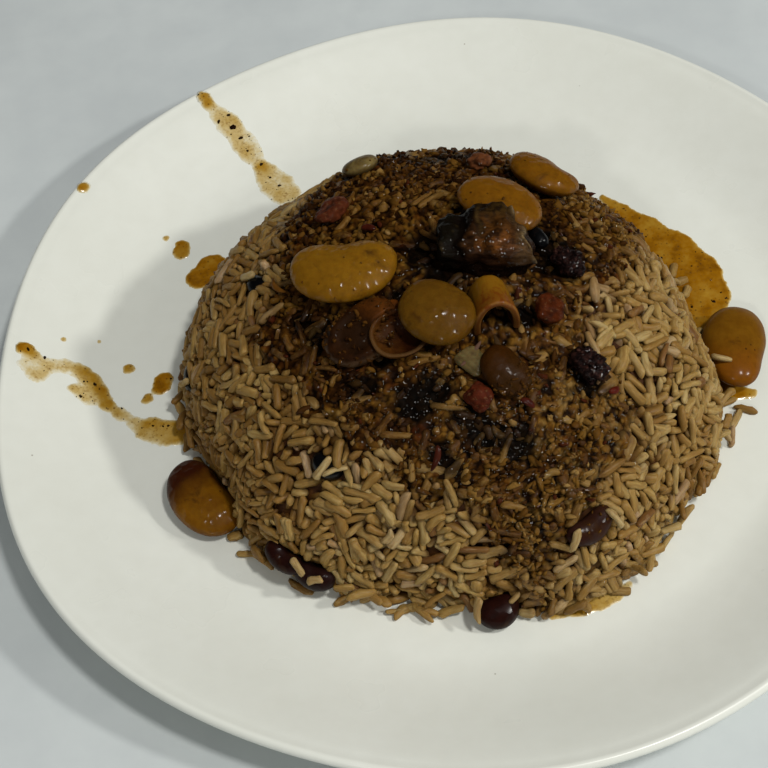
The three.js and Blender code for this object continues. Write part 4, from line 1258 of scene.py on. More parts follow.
def build_split_bean():
    """An empty half of a bean: a shallow cup with a thin rounded rim."""
    piece = PIECES["butter_bean_split"]
    L, W, D = piece["size"]
    nu = 96
    a = 2 * np.pi * np.arange(nu) / nu
    rows, kind = [], []
    whole = dict(piece, size=(L, W, D * 2))
    inner = dict(piece, size=(L - 2.2, W - 2.2, D * 1.35))

    def row(shape, e, lift=0.0, share=1.0, k=0.0):
        dirs = np.stack([np.cos(a) * math.cos(e), np.sin(a) * math.cos(e), -math.sin(e) + 0 * a], 1)
        V = bean_shape(dirs * [0.9999, 1, 1], shape)
        V[:, :2] *= share
        V[:, 2] += lift + 0.3 * noise(np.stack([np.cos(a) * 3, np.sin(a) * 3, 0 * a], 1), 2.2, 4) * math.cos(e)
        rows.append(V)
        kind.append(np.full(nu, k))

    for e in np.linspace(1.5, 0.05, 16):
        row(whole, e, k=0.0)
    row(whole, 0.02, 0.35, 1.0, 0.6)
    row(whole, 0.0, 0.62, 0.975, 1.0)
    row(whole, 0.0, 0.62, 0.93, 1.0)
    row(inner, 0.02, 0.30, 1.0, 0.8)
    for e in np.linspace(0.08, 1.5, 20):
        row(inner, e, k=0.4 - 0.1 * e)
    V = np.concatenate(rows)
    k = np.concatenate(kind)
    V = V + 0.12 * np.stack([noise(V, 3, 1), noise(V, 3, 2), noise(V, 3, 3)], 1)
    nv = len(rows)
    ends = np.stack([rows[0].mean(0), rows[-1].mean(0)])
    n = len(V)
    V = np.concatenate([V, ends])
    tris = np.concatenate([cap_faces(nu, 0, n, flip=True), cap_faces(nu, nu * (nv - 1), n + 1)])
    attr = np.ones((len(V), 4))
    attr[:n, 0] = k
    attr[:n, 1] = V[:n, 0] / L + 0.5
    attr[n:, 0] = 0, 0.25
    # how far each point lies on the front-left side, where the lip gets a painted highlight
    attr[:n, 2] = smoothstep(-(V[:n, 0] * 0.6 + V[:n, 1]) / L, -0.1, 0.45)
    m = Nodes("split_bean_skin")
    zone, along, low = m.attr("split")
    col = m.ramp(m.math("ADD", along, m.remap(m.noise(3.5, 3), 0.3, 0.7, -0.12, 0.12)), [
        (0.1, (70, 40, 10)), (0.35, (62, 32, 7)), (0.55, (44, 18, 3)), (0.8, (26, 10, 2))])
    col = m.mix(m.remap(m.noise(1.6, 4), 0.45, 0.75, 0.0, 0.5), col, (36, 16, 5))
    # the lip's pale colour: faint all round, as the skin's own edge, and strong on the front-left side, as a painted
    # highlight
    lip = m.math("MULTIPLY", m.remap(zone, 0.5, 0.9), m.math("ADD", m.math("MULTIPLY", low, 0.6), 0.06))
    col = m.mix(lip, col, (86, 62, 34))
    bump = m.bump(m.noise(1.2, 3), 0.35, 0.15)
    film = m.dimples(2.2, 0.25)
    m.set(IOR=1.42, Roughness=0.5, Specular_IOR_Level=0.04, Coat_Weight=0.07, Coat_Roughness=0.05, Subsurface_Weight=0.15, Subsurface_Scale=0.0015)
    m.bsdf.inputs["Subsurface Radius"].default_value = (1.0, 0.4, 0.1)
    to_piece("butter_bean_split_skin", lay(V, piece), [grid_faces(nu, nv), tris], m.finish(col, None, bump, film), replaces=("butter_bean_split",), attrs={"split": attr})


def build_arch():
    """The empty skin half of a bean on its edges, open to the front, with a thick rolled rim."""
    piece = PIECES["bean_skin_arch"]
    L, W, H = piece["size"]
    wall = piece["wall"]
    L = L + 1.0  # its back end runs in under the meat
    cols = 64
    t = np.linspace(-100 * DEG, 100 * DEG, cols)

    def section(s, inset, push=0.0):
        ring = max(1 - abs(s) ** 18, 1e-6) ** 0.5
        flare = 1.06 + 0.2 * s
        y = (W / 2 - inset) * np.sin(t) * ring * flare
        z = (H - inset) * np.cos(t) * ring * flare
        x = (L - inset) * s + push + 0 * t
        return np.stack([x, y, z], 1)

    rows, kind = [], []
    for s in np.linspace(-0.995, -0.06, 26):
        rows.append(section(s, 0.0))
        kind.append(0.35 * smoothstep(s, -0.55, -0.1) * np.ones(cols))
    for turn in np.linspace(0, 180, 9)[1:-1]:
        r = wall / 2
        rows.append(section(-0.05, wall / 2 - r * math.cos(turn * DEG), r * 0.8 * math.sin(turn * DEG) - 0.2))
        kind.append(0.35 + 0.35 * math.sin(turn * DEG) * np.ones(cols))
    for s in np.linspace(-0.06, -0.9, 18):
        rows.append(section(s, wall))
        kind.append(np.full(cols, 1.0))
    V = np.concatenate(rows)
    k = np.concatenate(kind)
    N = units(V * [0.0, 1, 1] + 1e-6)
    V = V + N * (0.28 * fbm(V, 5, 3, 12))[:, None]
    V[:, 0] += 0.35 * noise(V * [0, 1, 1], 5.5, 6)
    nv = len(rows)
    quads = grid_faces(cols, nv, wrap_u=False)
    # the two lower edges, between the outer and the inner face
    edge = []
    for col in (0, cols - 1):
        for j in range(17):
            o, i2 = j, nv - 1 - j
            q = [o * cols + col, (o + 1) * cols + col, (i2 - 1) * cols + col, i2 * cols + col]
            edge.append(q if col else q[::-1])
    attr = np.ones((len(V), 4))
    attr[:, 0] = k
    attr[:, 1] = np.clip(V[:, 2] / H, 0, 1)
    attr[:, 2] = V[:, 0] / L + 1
    m = Nodes("arched_skin")
    zone, high, front = m.attr("arch")
    # outer face golden; the rolled rim paler, partly the skin's edge and partly painted highlight; the inner face near
    # black, painted shade inside the hollow
    col = m.ramp(zone, [(0.0, (116, 78, 11)), (0.3, (104, 62, 9)), (0.45, (112, 68, 18)), (0.6, (118, 80, 34)), (0.72, (72, 34, 8)), (0.95, (36, 16, 8)), (1.0, (28, 12, 6))])
    speck = m.math("MULTIPLY", m.remap(m.noise(1.3, 3), 0.48, 0.62, 0.0, 0.8), m.math("MULTIPLY", m.remap(high, 0.55, 0.85), m.remap(front, 0.35, 0.65)))
    col = m.mix(speck, col, (96, 42, 4))
    # painted shade: darker towards the bottom, where the skin meets the gravy
    col = m.mix(m.remap(high, 0.05, 0.6, 0.7, 0.0), col, (56, 28, 6))
    bump = m.bump(m.noise(1.2, 3), 0.3, 0.14)
    m.set(IOR=1.42, Roughness=0.5, Specular_IOR_Level=0.08, Coat_Weight=0.14, Coat_Roughness=0.06, Subsurface_Weight=0.15, Subsurface_Scale=0.0015)
    m.bsdf.inputs["Subsurface Radius"].default_value = (1.0, 0.45, 0.12)
    to_piece("bean_skin_arch_wall", lay(V, piece), [quads, np.array(edge)], m.finish(col, None, bump),
             replaces=("bean_skin_arch",), attrs={"arch": attr})


# ------------------------------------------------------------------ meat, tomato, onion and crushed beans


def chunk_shape(dirs, piece):
    L, W, D = piece["size"]
    x, y, z = dirs.T
    block = np.abs(dirs).max(1)
    k = 1 + (1 / block - 1) * piece["square"]
    sd = piece["seed"]
    bump = 1 + piece["rough"] * (
        np.sin(3.1 * x + 2.3 * y + sd) * np.cos(2.7 * z - 1.9 * x)
        + np.sin(4.3 * y - 3.7 * z + 2 * sd) * 0.6
        + np.cos(5.9 * x + 4.1 * z + 3 * sd) * 0.4
    )
    k = k * bump * 0.84
    x, y, z = x * k, y * k, z * k
    taper = piece["taper"]
    return np.stack([L / 2 * x * (1 + taper * y), W / 2 * y * (1 + 0.5 * taper * z), D / 2 * z * (1 - 0.3 * taper * x)], 1)


def build_meat():
    """A braised chunk: a ragged brown body with soft fat behind, a low black shoulder on the left, deepened by painted
    shade, and a pale membrane down the right; painted light lies on its front and painted shadow under its front edge.
    """
    piece = PIECES["meat_chunk"]
    T, quads, tris = ball(168, 112)
    V = chunk_shape(T, dict(piece, square=0.5))
    left = smoothstep(-V[:, 0] + 0.2 * V[:, 1], 4.0, 9.0)
    right = smoothstep(V[:, 0], 2.0, 13.0)
    front = smoothstep(-V[:, 1], 0.5, 9.5)
    top = np.maximum(V[:, 2], 0)
    V[:, 2] -= top * (1 - (1 - 0.5 * left) * (1 - 0.28 * right) * (1 - 0.42 * front))
    V[:, 0] -= right * np.clip(V[:, 1] + 8, 0, 20) * 0.38
    V[:, 1] -= left * np.clip(V[:, 1], 0, 20) * 0.2
    N = units(V / np.array([16.5, 10.75, 7.75]) ** 2)
    wobble = np.stack([noise(V, 4.0, 71), noise(V, 4.0, 72)], 1) * 1.3
    x, y = V[:, 0] + wobble[:, 0], V[:, 1] + wobble[:, 1]
    up = smoothstep(T[:, 2], -0.15, 0.4)

    def spot(cx, cy, rx, ry):
        return np.exp(-(((x - cx) / rx) ** 2 + ((y - cy) / ry) ** 2)) * up

    seam = np.exp(-(((x + 7.6 - 0.2 * y) / 1.6) ** 2)) * up
    knob = spot(-5.6, 5.0, 2.4, 2.2)
    line = x - (8.6 - 0.40 * (y - 3) + 0.6 * np.sin(0.5 * y))
    cord = np.exp(-((line / 0.6) ** 2)) * up
    fibre = fbm(V * [0.3, 1.0, 1.0], 1.6, 3, 33)
    off = 1.3 * fbm(V, 7, 3, 31) + 0.8 * noise(V, 2.9, 35) + 0.26 * fibre + 0.2 * noise(V, 1.2, 37)
    off = off - 1.0 * seam + 0.9 * knob + 0.55 * cord - 0.5 * np.exp(-(((line + 1.7) / 0.9) ** 2)) * up
    V = V + N * off[:, None]
    # colours of its parts, among them painted light and painted shade
    grain = 0.5 + 0.5 * noise(V, 1.3, 44)
    blotch = 0.5 + 0.5 * fbm(V, 3.2, 3, 45)
    col = linear((22, 12, 7)) + (linear((50, 30, 14)) - linear((22, 12, 7))) * (blotch * up)[:, None]

    def paint(amount, colour):
        nonlocal col
        a = np.clip(amount, 0, 1)[:, None]
        col = col * (1 - a) + linear(colour) * a

    paint(spot(1.5, 5.5, 7.0, 4.2) * 1.3 * (0.5 + 0.5 * blotch), (54, 39, 14))
    # painted light: warm brown spots on the front of the top, over the meat's own brown, stand for the part the lamps
    # light; the lower, brighter one covers the steep front face
    paint(spot(1.0, -0.6, 7.2, 4.0) * 1.2 * (0.5 + 0.5 * grain), (72, 42, 12))
    paint(spot(1.8, -5.0, 6.6, 2.4) * 1.3 * (0.45 + 0.55 * grain), (104, 60, 18))
    # partly the meat's own dark and partly painted shade: the upper left goes near black
    paint(smoothstep(-x + 0.3 * y, 0.6, 4.4) * smoothstep(y, -2.0, 2.5) * 0.85 * up, (15, 9, 5))
    paint(smoothstep(fbm(V, 2.4, 3, 46), 0.02, 0.3) * 0.75 * up, (16, 8, 4))
    paint(spot(-2.6, 3.0, 0.8, 4.4) * 0.7, (78, 58, 26))
    paint(smoothstep(x, 5.5, 8.5) * smoothstep(-line, -0.5, 1.0) * 0.8 * (0.4 + 0.6 * blotch) * up, (84, 62, 36))
    # painted shadow: the front edge and the face below it go near black
    paint(smoothstep(-y, 7.0, 9.0) * 0.85 * (1 - 0.4 * grain), (20, 8, 4))
    # the low shoulder on the left goes near black, partly its own colour and partly painted shade
    paint(left * 0.95, (14, 12, 6))
    paint(left * smoothstep(blotch * grain, 0.42, 0.6) * 0.7, (52, 40, 18))
    paint(knob * 1.2, (12, 7, 4))
    # painted shade in the groove
    paint(seam * 0.7, (10, 6, 4))
    # the pale membrane along the right ridge; its pale line also serves as a painted highlight along the ridge
    paint(cord * (0.5 + 0.5 * blotch), (124, 102, 66))
    m = Nodes("braised_meat")
    base = m.add("ShaderNodeAttribute", attribute_name="meat").outputs["Color"]
    streak = m.noise(0.9, 4, stretch=(0.35, 1, 1))
    out = m.mix(m.remap(streak, 0.35, 0.6, 0.6, 0.0), base, (14, 6, 3), "MIX")
    bump = m.bump(m.noise(1.0, 4, stretch=(0.4, 1, 1)), 0.6, 0.25)
    film = m.dimples(1.9, 0.4, True)
    m.set(IOR=1.42, Roughness=0.5, Specular_IOR_Level=0.03, Coat_Weight=0.24, Coat_Roughness=0.05)
    to_piece("meat_chunk_body", lay(V, piece), [quads, tris], m.finish(out, None, bump, film), replaces=("meat_chunk",),
             attrs={"meat": with_one(col), "skin": with_one(N @ frame_of(piece)[0])})


def build_bits():
    """Specks of gravy left on the toppings."""
    rng = np.random.default_rng(SEED + 7)
    at, size, shade = [], [], []
    for name, count, r, lo, hi in (
        ("butter_bean_gravy", 110, 0.42, 0.0, 0.45), ("butter_bean_front", 44, 0.4, 0.1, 0.5), ("butter_bean_left", 8, 0.22, 0.4, 0.6),
        ("butter_bean_middle", 5, 0.22, 0.4, 0.6), ("butter_bean_behind", 10, 0.25, 0.35, 0.6), ("butter_bean_back", 6, 0.22, 0.4, 0.6),
        ("lima_bean_back", 5, 0.3, 0.4, 0.6), ("kidney_bean_right", 12, 0.34, 0.3, 0.6),
    ):
        piece = PIECES[name]
        T = units(rng.normal(size=(count, 3)))
        T[:, 2] = np.abs(T[:, 2]) * 0.9 + 0.08
        T = units(T)
        if name == "butter_bean_front":
            T[:, 0] = np.abs(T[:, 0])
        V = bean_shape(T, piece)
        if name == "butter_bean_gravy":
            V = V - outward(V, piece["size"]) * 0.1
            V[:, 2] -= 1.1 * smoothstep(-np.hypot(V[:, 0] / piece["size"][0], V[:, 1] / piece["size"][1]) * 2, -0.84, -0.45)
        at.append(lay(V, piece))
        size.append(np.clip(np.exp(rng.normal(math.log(r), 0.3, count)), 0.16, 0.8))
        shade.append(rng.uniform(lo, hi, count))
    at, size, shade = np.concatenate(at), np.concatenate(size), np.concatenate(shade)
    V, faces, m = lumps(at, size, rng, 6, 4, long=0.5)
    attr = np.ones((len(V), 4))
    attr[:, 0] = np.repeat(shade, m)
    attr[:, 1] = attr[:, 2] = 0
    to_piece("gravy_bits", V, faces, crumb_material(), attrs={"crumb": attr, "skin": with_one(heap_depth(V)[1])})


def build_chunks():
    def tomato(name, light, dark):
        m = Nodes(name)
        col = m.ramp(m.noise(3.0, 4), [(0.3, dark), (0.6, light), (0.8, dark)])
        col = m.mix(m.remap(m.noise(1.6, 4), 0.5, 0.75, 0.0, 0.75), col, (34, 14, 6))
        col = m.mix(m.remap(m.noise(1.0, 3), 0.58, 0.7, 0.0, 0.5), col, (104, 74, 46))
        bump = m.bump(m.noise(1.5, 4), 0.5, 0.3)
        bump = m.bump(m.noise(0.6, 2), 0.5, 0.12, bump)
        film = m.dimples(2.2, 0.35, True)
        m.set(IOR=1.4, Roughness=0.5, Specular_IOR_Level=0.04, Coat_Weight=0.12, Coat_Roughness=0.05)
        return m.finish(col, None, bump, film)

    def crushed():
        m = Nodes("crushed_black_bean")
        col = m.ramp(m.noise(1.3, 5), [(0.35, (10, 5, 5)), (0.52, (24, 12, 10)), (0.64, (46, 25, 20)), (0.76, (82, 54, 44)), (0.88, (108, 80, 64))])
        bump = m.bump(m.noise(1.6, 4), 0.6, 0.3)
        m.set(IOR=1.42, Roughness=0.5, Specular_IOR_Level=0.03, Coat_Weight=0.24, Coat_Roughness=0.06)
        return m.finish(col, None, bump, m.dimples(2.2, 0.4, True))

    reds = {
        "tomato_back_left": tomato("tomato_dull", (82, 38, 20), (44, 20, 9)),
        "tomato_back_right": tomato("tomato_brown", (98, 56, 30), (56, 28, 13)),
        "tomato_front": tomato("tomato_dark", (78, 30, 14), (40, 16, 8)),
        "tomato_right": tomato("tomato_bright", (72, 29, 8), (46, 18, 5)),
    }
    crush = crushed()
    for i, (name, piece) in enumerate(PIECES.items()):
        if piece["shape"] != "chunk" or name == "meat_chunk":
            continue
        T, quads, tris = ball(48, 32)
        V = chunk_shape(T, piece if name.startswith("crushed") else dict(piece, square=0.22))
        N = outward(V, piece["size"])
        V = V + N * (0.6 * fbm(V + 7.0 * i, 2.8, 3, i) + 0.28 * noise(V, 1.2, i))[:, None]
        faces = [quads, tris]
        if name.startswith("crushed"):
            rng = np.random.default_rng(SEED + i)
            L, W, D = piece["size"]
            n = 34
            spot = units(rng.normal(size=(n, 3)))
            spot[:, 2] = np.abs(spot[:, 2]) * 0.9
            r = np.clip(np.exp(rng.normal(0.2, 0.5, n)), 0.4, 2.4)
            U, f, _ = lumps(spot * np.array([L, W, D]) / 2 * (np.clip(1.02 - 0.2 * r, 0.4, 1) * rng.uniform(0.75, 1.0, n))[:, None], r, rng, 12, 8, uneven=0.22)
            V = V * [0.8, 0.8, 0.7]
            faces = [np.concatenate([quads, f[0] + len(V)]), np.concatenate([tris, f[1] + len(V)])]
            V = np.concatenate([V, U])
        mat = reds.get(name, crush)
        skin = with_one(outward(V, piece["size"]) @ frame_of(piece)[0])
        to_piece(name + "_flesh", lay(V, piece), faces, mat,
                 replaces=(name,), attrs={"skin": skin})


def build_onion():
    piece = PIECES["onion_petal"]
    L, W, D = piece["size"]
    T, quads, tris = ball(56, 40)
    # a thin pillow: a rounded leaf, bent round its long axis
    k = 1 / (np.abs(T[:, 0]) ** 5 + np.abs(T[:, 1]) ** 5 + 1e-9) ** 0.2 * np.hypot(T[:, 0], T[:, 1])
    k = np.minimum(k, 1.19)
    x, y = T[:, 0] * k * L / 2, T[:, 1] * k * W / 2
    z = np.sign(T[:, 2]) * np.abs(T[:, 2]) ** 0.8 * D / 2 * 0.9
    u = y / (W / 2)
    V = np.stack([x * (1 - 0.22 * u), y * (1 - 0.12 * x / L), z - piece["curve"] * u * u + 0.25 * piece["curve"] * x / L], 1)
    V[:, 2] += 0.16 * noise(V * [1, 1, 0], 2.5, 3) + 0.08 * np.sin(V[:, 1] * 4.2)
    m = Nodes("cooked_onion")
    col = m.ramp(m.noise(2.4, 4, stretch=(0.3, 1, 1)), [(0.3, (74, 60, 30)), (0.6, (98, 84, 50)), (0.8, (80, 62, 30))])
    col = m.mix(m.remap(m.noise(3, 4), 0.52, 0.72, 0.0, 0.8), col, (48, 30, 12))
    bump = m.bump(m.noise(0.9, 3, stretch=(0.25, 1, 1)), 0.4, 0.12)
    m.set(IOR=1.4, Roughness=0.5, Specular_IOR_Level=0.1, Coat_Weight=0.3, Coat_Roughness=0.06, Subsurface_Weight=0.3, Subsurface_Scale=0.002)
    to_piece("onion_petal_leaf", lay(V, piece), [quads, tris], m.finish(col, None, bump),
             replaces=("onion_petal",))


# Shreds on the gravy: place, heading in degrees, length, breadth, thickness, bend, rise, colour.
SHREDS = (
    ((-20.1, -24.3, 65.4), 25, 6.0, 3.6, 2.0, 0.3, 0.0, (104, 54, 12)),
    ((-0.6, -41.6, 63.2), 47, 9.0, 1.3, 0.9, 0.4, 0.1, (96, 70, 56)),
    ((6.4, -41.0, 63.6), 95, 8.4, 1.5, 0.9, 0.3, 0.1, (64, 46, 26)),
    ((-22.8, 4.7, 65.2), 150, 4.6, 2.2, 1.6, 0.2, 0.0, (66, 22, 10)),
    ((-50.2, -5.7, 57.8), -60, 8.0, 1.5, 1.1, 1.3, 0.0, (112, 70, 20)),
    ((-13.4, -64.6, 51.6), 70, 7.0, 1.7, 1.2, 0.7, 0.0, (60, 22, 10)),
    ((12.0, -55.6, 57.8), 140, 4.2, 2.0, 1.2, 0.4, 0.0, (70, 22, 10)),
    ((35.6, -50.2, 50.6), 20, 3.6, 2.0, 1.4, 0.2, 0.0, (86, 24, 10)),
)


def build_shreds():
    """Torn skin, spring onion and tomato lying on the gravy."""
    T, quads, tris = ball(20, 14)
    n = len(T)
    points, faces4, faces3, colours = [], [], [], []
    for i, (at, heading, L, W, D, bend, rise, colour) in enumerate(SHREDS):
        V = T * [L / 2, W / 2, D / 2]
        V[:, 1] += bend * (T[:, 0] ** 2 - 0.4)
        V[:, 2] += 0.5 * bend * (0.4 - T[:, 0] ** 2)
        V = V * (1 + 0.12 * noise(V + 9 * i, 1.8, i)[:, None])
        _, up = heap_depth(np.array([at]))
        piece = dict(at=at, up=up[0] + np.array([0, 0, rise]), heading=heading)
        points.append(lay(V, piece))
        faces4.append(quads + i * n)
        faces3.append(tris + i * n)
        tone = 0.72 * linear(colour) * np.clip(1 + 0.4 * noise(V + 5 * i, 1.5, 3), 0.4, 1.5)[:, None]
        colours.append(np.concatenate([tone, np.ones((n, 1))], 1))
    m = Nodes("shreds")
    base = m.add("ShaderNodeAttribute", attribute_name="shred").outputs["Color"]
    bump = m.bump(m.noise(0.8, 3), 0.5, 0.15)
    m.set(IOR=1.4, Roughness=0.5, Specular_IOR_Level=0.05, Coat_Weight=0.18, Coat_Roughness=0.06)
    to_piece("gravy_shreds", np.concatenate(points), [np.concatenate(faces4), np.concatenate(faces3)], m.finish(base, None, bump),
             attrs={"shred": np.concatenate(colours)})


# ------------------------------------------------------------------ thin sauce on the plate

# Each run: points of its middle line (x, y, radius, how thick).
SAUCE = {
    "sauce_run_back": [
        [(-73.0, 115.4, 2.4, 0.9), (-71.6, 113.2, 2.2, 0.75)],
        [(-70.2, 111.4, 1.4, 0.1), (-68.2, 109.2, 3.4, 0.14), (-65.6, 106.4, 4.0, 0.2), (-62.9, 103.0, 3.0, 0.34), (-61.0, 99.6, 4.0, 0.16), (-59.0, 95.8, 3.5, 0.2),
         (-57.2, 93.2, 1.7, 0.16), (-55.9, 91.0, 2.3, 0.5), (-54.0, 87.4, 4.2, 0.2), (-51.4, 82.6, 5.6, 0.24), (-48.8, 77.8, 5.2, 0.26)],
    ],
    "sauce_run_left": [
        [(-131.8, 16.4, 2.5, 1.0), (-129.2, 14.0, 2.3, 0.9)],
        [(-130.6, 10.8, 2.9, 0.12), (-128.4, 8.6, 3.6, 0.14), (-126.4, 11.0, 2.4, 0.26), (-121.8, 11.8, 2.2, 0.32), (-117.0, 10.8, 2.2, 0.34), (-113.4, 7.8, 2.4, 0.42),
         (-111.0, 3.6, 2.6, 0.5), (-109.0, -0.6, 2.2, 0.5), (-105.0, -4.6, 1.9, 0.32), (-100.8, -8.0, 2.2, 0.34), (-96.4, -11.4, 3.7, 0.34), (-91.2, -13.4, 4.6, 0.36), (-86.4, -14.6, 4.3, 0.42)],
        [(-118.2, 3.8, 1.9, 0.34), (-114.2, 2.2, 4.0, 0.22)],
    ],
    "sauce_pool_right": [
        [(54.5, 57.6, 1.6, 0.7), (60.0, 51.0, 2.4, 0.75), (66.4, 42.6, 4.4, 0.75), (72.6, 33.0, 6.6, 0.78), (76.6, 22.0, 8.4, 0.8), (77.4, 12.0, 8.2, 0.75), (75.6, 3.4, 6.0, 0.75)],
        [(56.0, 50.0, 3.0, 0.8), (61.0, 42.0, 4.0, 0.8), (66.0, 33.0, 5.0, 0.82), (69.0, 22.0, 5.0, 0.82)],
        [(72.0, -6.0, 4.0, 1.0), (74.6, -20.6, 3.2, 1.0), (78.6, -25.4, 2.4, 0.8), (83.6, -26.6, 1.5, 0.6)],
    ],
    "sauce_drops": [
        [(-114.1, 79.4, 1.9, 0.7)], [(-84.6, 57.8, 2.9, 0.74), (-84.2, 60.2, 2.8, 0.74)], [(-89.2, 63.5, 1.2, 0.5)],
        [(-78.8, 45.6, 4.6, 0.8), (-74.6, 50.2, 5.0, 0.8)],
        [(-92.2, 3.8, 3.1, 0.78), (-91.6, 6.6, 3.0, 0.78)], [(-96.6, 0.4, 2.0, 0.6)], [(-102.2, 12.4, 1.8, 0.55)],
        [(-121.2, 21.7, 0.7, 0.4)], [(-111.1, 22.6, 0.8, 0.4)], [(-106.8, 5.7, 0.55, 0.2)], [(-109.4, 15.2, 0.4, 0.12)],
    ],
    "sauce_at_foot": [
        [(13.0, -90.2, 1.6, 0.5), (20.3, -89.4, 2.0, 0.6), (26.5, -88.2, 2.1, 0.45), (31.0, -86.6, 1.8, 0.34), (35.2, -84.0, 1.2, 0.26)],
    ],
}


def sauce_field(x, y, runs):
    """Distance inside the nearest run's edge, and the thickness there."""
    best = np.full(len(x), -1e3)
    thick = np.zeros(len(x))
    weight = np.zeros(len(x))
    for run in runs:
        nodes = run if len(run) > 1 else [run[0], run[0]]
        for (ax, ay, ar, at), (bx, by, br, bt) in zip(nodes, nodes[1:]):
            d = np.array([bx - ax, by - ay])
            t = np.clip(((x - ax) * d[0] + (y - ay) * d[1]) / max(d @ d, 1e-6), 0, 1)
            f = ar + (br - ar) * t - np.hypot(x - ax - d[0] * t, y - ay - d[1] * t)
            w = np.exp(f * 1.2)
            thick += w * (at + (bt - at) * t)
            weight += w
            best = np.maximum(best, f)
    soft = np.log(np.maximum(weight, 1e-12)) / 1.2
    return np.where(weight > 1e-9, soft, best), thick / np.maximum(weight, 1e-12)


def sauce_material():
    m = Nodes("thin_sauce")
    thick, edge, _ = m.attr("sauce")
    t = m.math("ADD", m.math("MULTIPLY", thick, m.remap(m.noise(5.0, 2), 0.3, 0.7, 0.76, 1.18)), m.remap(m.noise(1.0, 2), 0.35, 0.7, -0.03, 0.04))
    col = m.ramp(t, [
        (0.0, (216, 214, 198)), (0.06, (208, 198, 164)), (0.16, (194, 172, 118)), (0.34, (176, 146, 78)), (0.55, (160, 120, 36)),
        (0.78, (140, 92, 7)), (1.0, (100, 60, 4)),
    ])
    ring = m.math("MULTIPLY", m.remap(edge, 0.0, 0.35, 0.0, 1.0), m.remap(edge, 0.35, 0.9, 1.0, 0.0))
    col = m.mix(m.math("MULTIPLY", ring, m.math("MULTIPLY", thick, 0.45)), col, (128, 84, 20))
    grainy = m.math("MULTIPLY", m.remap(m.noise(0.9, 3), 0.48, 0.66, 0.0, 0.75), m.remap(m.noise(4.0, 2), 0.35, 0.6, 0.15, 1.0))
    col = m.mix(m.math("MULTIPLY", m.math("MULTIPLY", grainy, m.remap(thick, 0.04, 0.18)), m.remap(thick, 0.5, 0.7, 1.0, 0.25)), col, (138, 104, 46))
    bits = m.math("MULTIPLY", m.remap(m.voronoi(1.5), 0.16, 0.26, 0.75, 0.0), m.remap(m.noise(3.5, 2), 0.4, 0.5, 0.0, 1.0))
    col = m.mix(m.math("MULTIPLY", bits, m.remap(thick, 0.05, 0.3)), col, (92, 60, 18))
    bump = m.bump(m.noise(2.6, 2), 0.3, 0.1)
    m.set(IOR=1.36, Specular_IOR_Level=0.35, Coat_Weight=0.25, Coat_Roughness=0.06)
    return m.finish(col, m.remap(m.noise(3, 2), 0.3, 0.7, 0.14, 0.24), bump)


